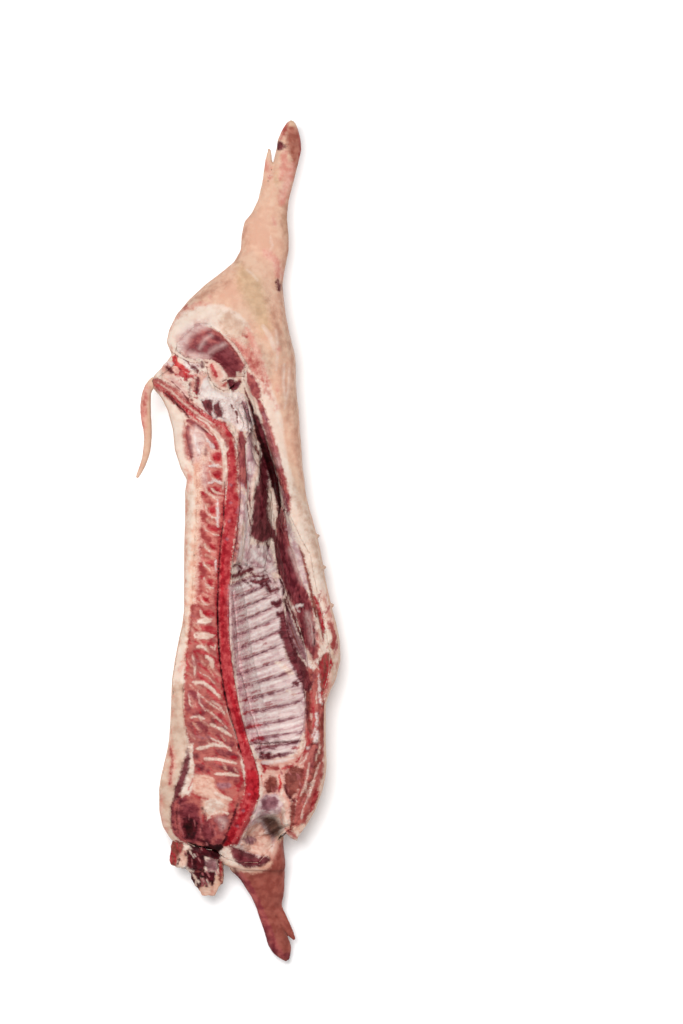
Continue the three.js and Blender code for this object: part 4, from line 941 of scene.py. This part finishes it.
tissue_tree = bpy.data.node_groups.new("tissues of the sawn side", "ShaderNodeTree")
for name in ("Turn", "Stretch", "Grainy"):
    tissue_tree.interface.new_socket(name=name, in_out="INPUT", socket_type="NodeSocketFloat")
OUTPUTS = {"Color": "NodeSocketColor", "Height": "NodeSocketFloat", "Gloss": "NodeSocketFloat"}
for name, kind in OUTPUTS.items():
    tissue_tree.interface.new_socket(name=name, in_out="OUTPUT", socket_type=kind)
place = add(tissue_tree, "ShaderNodeTexCoord").outputs["Object"]
given = add(tissue_tree, "NodeGroupInput").outputs
turned = add(tissue_tree, "ShaderNodeVectorRotate", {"rotation_type": "Z_AXIS"},
             {"Vector": place, "Angle": given["Turn"]}).outputs[0]
across = add(tissue_tree, "ShaderNodeCombineXYZ", {"X": 1.0, "Z": 0.7}, {"Y": given["Stretch"]}).outputs[0]
stretched = add(tissue_tree, "ShaderNodeVectorMath", {"operation": "MULTIPLY"},
                {0: turned, 1: across}).outputs[0]

# %% [markdown]
# Four sizes of noise do all the variation: drifts as wide as a hand, blotches as wide as a finger, fibres
# that run along the muscle, and grain.

# %% Noise at the sizes of the real thing
HAND, FINGER, FIBRE, GRAIN = 70, 16, 6, 5  # mm
noises = []
for size, vector, settings in (
    (HAND, place, {"Detail": 2.0}),
    (FINGER, place, {"Detail": 2.0}),
    (GRAIN, place, {"Detail": 3.0, "Roughness": 0.6}),
    (FIBRE, stretched, {"Detail": 4.0, "Roughness": 0.6, "Distortion": 0.4}),
):
    settings["Scale"] = 1 / (size * MM)
    noises.append(add(tissue_tree, "ShaderNodeTexNoise", settings, {"Vector": vector}).outputs["Fac"])
drift, blotch, grain, fibre = noises


def maths(operation, a, b, c=0.0):
    """Adds a sum of two or three values, each a number or an output."""
    terms = {0: a, 1: b, 2: c}
    numbers = {k: v for k, v in terms.items() if isinstance(v, float)}
    sources = {k: v for k, v in terms.items() if not isinstance(v, float)}
    return add(tissue_tree, "ShaderNodeMath", {"operation": operation, **numbers}, sources).outputs[0]


def slope(value, low, high, to_low=0.0, to_high=1.0):
    """A smooth step of a value, from to_low at low to to_high at high."""
    settings = {"interpolation_type": "SMOOTHSTEP", "From Min": low, "From Max": high}
    settings |= {"To Min": to_low, "To Max": to_high}
    return add(tissue_tree, "ShaderNodeMapRange", settings, {"Value": value}).outputs["Result"]


TEAR = 1.3  # scales the noise so that raggedness comes out in roughly true mm
wobble = maths("SUBTRACT", maths("ADD", maths("ADD", blotch, grain), fibre), 1.5)  # about 0 on average
streaky = maths("MULTIPLY", maths("SUBTRACT", fibre, 0.5), given["Grainy"])
tone = slope(maths("ADD", streaky, blotch), 0.32, 0.68)


def share_inside(tissue, edge, ragged):
    """How much of a tissue there is: 0 outside its shapes, 1 inside, torn by the noise between."""
    distance = add(tissue_tree, "ShaderNodeAttribute", {"attribute_name": tissue}).outputs["Fac"]
    return slope(maths("MULTIPLY_ADD", wobble, TEAR * ragged, distance), -edge / 2, edge / 2)


def mixed(share, below, above):
    """One colour over another, by a share."""
    settings, sources = {"data_type": "RGBA"}, {}
    for name, value in ((0, share), (6, below), (7, above)):
        (settings if isinstance(value, tuple) else sources)[name] = value
    return add(tissue_tree, "ShaderNodeMix", settings, sources).outputs[2]


def threads(noise_output, thickness):
    """Thin winding lines, where a noise passes through its middle value."""
    return slope(maths("ABSOLUTE", maths("SUBTRACT", noise_output, 0.5), 0.0), thickness, 0.0)


# %% The layers, one over the other
SKIN = linear("#e6bfa6"), linear("#d8a890")
FAT = linear("#eedacb"), linear("#e2c5b4")
THREAD = 0.03  # half the range of noise that a thread takes up
skin_colour = mixed(slope(maths("ADD", blotch, drift), 0.7, 1.3), *SKIN)
fat_colour = mixed(slope(maths("ADD", blotch, drift), 0.7, 1.3), *FAT)
colour = mixed(share_inside("cut", 9, 5), skin_colour, fat_colour)
for tissue, (light, dark, edge, ragged, cover) in LAYERS.items():
    share = share_inside(tissue, edge, ragged)
    if tissue == "veined":
        share = maths("MULTIPLY", share, maths("MULTIPLY", threads(fibre, THREAD), 0.55))
    elif tissue == "bloodied":
        share = maths("MULTIPLY", share, maths("MULTIPLY", threads(grain, THREAD), 0.6))
    else:
        share = maths("MULTIPLY", share, cover)
    colour = mixed(share, colour, mixed(tone, linear(light), linear(dark)))
shade = slope(drift, 0.35, 0.65, 0.93, 1.05)
colour = add(tissue_tree, "ShaderNodeVectorMath", {"operation": "SCALE"},
             {0: colour, "Scale": shade}).outputs[0]
out = add(tissue_tree, "NodeGroupOutput", None, {"Color": colour, "Gloss": blotch})
tissue_tree.links.new(maths("MULTIPLY_ADD", fibre, 0.8, grain), out.inputs["Height"])
print(len(tissue_tree.nodes), "nodes in the tissue group")

# %% Rind, lean, bone, fat and chest lining
RED_GOES_FURTHEST = (1.0, 0.4, 0.25)  # how far red, green and blue light get in, as shares
SHEEN = 0.09  # the moisture is thin and patchy, so it mirrors far less than a full coat
WET_IOR = 1.38


def tissue_material(name, turn, stretch, grainy, relief_mm, rough, scatter, radius_mm):
    """A wet tissue: layered colour, fine relief in mm, broad gloss and light scattered under the surface."""
    material = bpy.data.materials.new(name)
    material.use_nodes = True
    tree = material.node_tree
    shader = tree.nodes["Principled BSDF"]
    given = {"node_tree": tissue_tree, "Turn": math.radians(turn), "Stretch": stretch, "Grainy": grainy}
    tissue = add(tree, "ShaderNodeGroup", given)
    bump = add(tree, "ShaderNodeBump", {"Strength": 0.8, "Distance": relief_mm * MM},
               {"Height": tissue.outputs["Height"]})
    gloss = add(tree, "ShaderNodeMapRange",
                {"From Min": 0.35, "From Max": 0.65, "To Min": rough, "To Max": rough + 0.2},
                {"Value": tissue.outputs["Gloss"]})
    tree.links.new(tissue.outputs["Color"], shader.inputs["Base Color"])
    tree.links.new(gloss.outputs["Result"], shader.inputs["Roughness"])
    tree.links.new(bump.outputs["Normal"], shader.inputs["Normal"])
    shader.inputs["Subsurface Weight"].default_value = scatter
    shader.inputs["Subsurface Radius"].default_value = RED_GOES_FURTHEST
    shader.inputs["Subsurface Scale"].default_value = radius_mm * MM
    shader.inputs["Specular IOR Level"].default_value = SHEEN
    shader.inputs["IOR"].default_value = WET_IOR
    return material


# Scalded and shaved rind: dry to the eye, fine pores, hardly any gloss.
rind = tissue_material("scalded pork rind", 0, 0.7, 0.1, 0.6, 0.5, 0.15, 3)
# Cut muscle: wet fibres, so it glistens in small streaks.
lean = tissue_material("fresh cut lean pork", 100, 0.4, 0.7, 1.4, 0.3, 0.1, 2)
long_lean = tissue_material("long muscle of the flank", 12, 0.2, 1.0, 1.2, 0.3, 0.1, 2)
# Sawn bone: red marrow sponge between thin plates, rough from the saw.
bone = tissue_material("sawn spongy bone", 0, 0.8, 0.8, 1.4, 0.35, 0.08, 2)
# Chest lining: a thin tight membrane over ribs, smooth and wet.
chest_lining = tissue_material("wet chest lining", 74, 0.12, 1.6, 0.8, 0.25, 0.1, 2)
# Leaf fat of the pelvis: firm, waxy and pale.
fat = tissue_material("pelvic leaf fat", 0, 0.5, 0.6, 1.0, 0.4, 0.2, 4)

# %% [markdown]
# ## The pieces
# Every piece goes the same way: fine faces, melted facets, a coarse bed, relief, and the distances to the
# drawn tissues.

# %% Dress a solid
SEAM = 0.25  # mm by which each piece grows
TISSUE_STEP = 5  # mm over which the surface climbs from one tissue to the next
UPRIGHT, FLAT = 0.5, 0.95  # a face that rises less than the first is a wall, one above the second isn't
HOLLOW_WALL = 0.6  # how much steeper a face may be in the hollow and still take the drawing
TURN = 30  # mm of drawn distance that a face is given for each 1 that it rises past the least
LUMP_SIZE = 11 * MM
TEAT_HEIGHT, TEAT_RADIUS = 6.0, 6  # mm


def ramp(value, low, high):
    """0 below low, 1 above high, and a smooth slope between."""
    share = ((value - low) / (high - low)).clip(0, 1)
    return share * share * (3 - 2 * share)


def drawn_relief(points):
    """Height of the drawn relief in mm."""
    lift = np.zeros(len(points))
    for height, rim, shape in RELIEF:
        lift += height * ramp(inside(points, [shape]), -rim / 2, rim / 2)
    return lift


def store_tissues(mesh, flat, facing):
    """Stores each tissue's distance on the vertices, and returns how far the tissues stand out in mm."""
    lift = np.zeros(len(flat))
    for name in MASKS:
        distance = np.minimum(inside(flat, PAINT.get(name, [])), facing)
        distance = np.maximum(distance, inside(flat, PAINT.get(name + " all round", [])))
        attribute = mesh.attributes.new(name, "FLOAT", "POINT")
        attribute.data.foreach_set("value", distance.astype(np.float32))
        if name in RISE:
            share = ramp(distance, -TISSUE_STEP / 2, TISSUE_STEP / 2)
            lift = lift * (1 - share) + RISE[name] * share
    return lift


def dress(node, finish, voxel, rounds, least_rise, lump=0.7, wall=2.5, crisp=True):
    """Makes the visible piece for a solid.

    Faces that rise less than least_rise keep clear of the drawing, but in the hollow steeper ones take it
    too. Walls grow by wall mm, which closes the gap to the neighbour.
    """
    piece, rims = fine_copy(node, voxel)
    melt_facets(piece, rims if crisp else [], voxel, rounds)
    coarsen_bed(piece, node)
    mesh = piece.data
    places, _, normals = arrays(mesh)
    flat = places[:, :2] / MM
    rise = normals[:, 2]
    inner = HOLLOW_WALL * ramp(inside(flat, PAINT["hollow"]), 2, 10)
    facing = ((rise - least_rise + inner) * TURN).clip(-FAR, FAR)
    lift = store_tissues(mesh, flat, facing)
    rough = np.array([noise.noise(Vector(p) / LUMP_SIZE) + 0.5 * noise.noise(Vector(p) / (LUMP_SIZE / 2))
                      for p in places])
    lift += SEAM + wall * (1 - ramp(np.abs(rise), UPRIGHT, FLAT))
    lift += lump * rough * ramp(facing, -6, 0) + drawn_relief(flat) * ramp(facing, 0, 6)
    for teat in TEATS if node == "skin_and_fat" else ():
        lift += TEAT_HEIGHT * ramp(-np.hypot(*(flat - teat).T), -TEAT_RADIUS, -1)
    places = places + normals * (lift[:, None] * MM)
    places[:, 2] = np.maximum(places[:, 2], 0)
    mesh.vertices.foreach_set("co", places.ravel())
    mesh.update()
    mesh.polygons.foreach_set("use_smooth", [True] * len(mesh.polygons))
    mesh.materials.append(finish)
    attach(piece, "root")
    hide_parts(node)

# %% All twelve pieces
dress("skin_and_fat", rind, 3.1, 70, 0.3, lump=0.5, wall=1.0)
dress("lean_meat", lean, 2.5, 60, -0.25, lump=1.0, wall=1.0)
dress("backbone", bone, 1.7, 30, -0.1)
dress("rib_wall", chest_lining, 1.8, 12, -0.3, lump=0.5)
dress("neck_trim", lean, 1.8, 24, -1.2, lump=2.2, wall=1.5, crisp=False)
dress("tenderloin", long_lean, 1.8, 50, -0.3, lump=0.9, wall=4)
dress("ham_muscle", lean, 1.8, 50, -0.3, lump=0.4, wall=4)
dress("skirt", long_lean, 1.8, 50, -0.3, lump=1.2, wall=4)
dress("pelvic_fat", fat, 1.8, 50, -0.3, lump=0.8, wall=4)
dress("breastbone", bone, 1.6, 30, -0.3, lump=1.2)
dress("aitch_bone", bone, 1.4, 30, -0.3)
dress("tail", rind, 1.6, 40, 2.0, lump=0.5, wall=0.0, crisp=False)
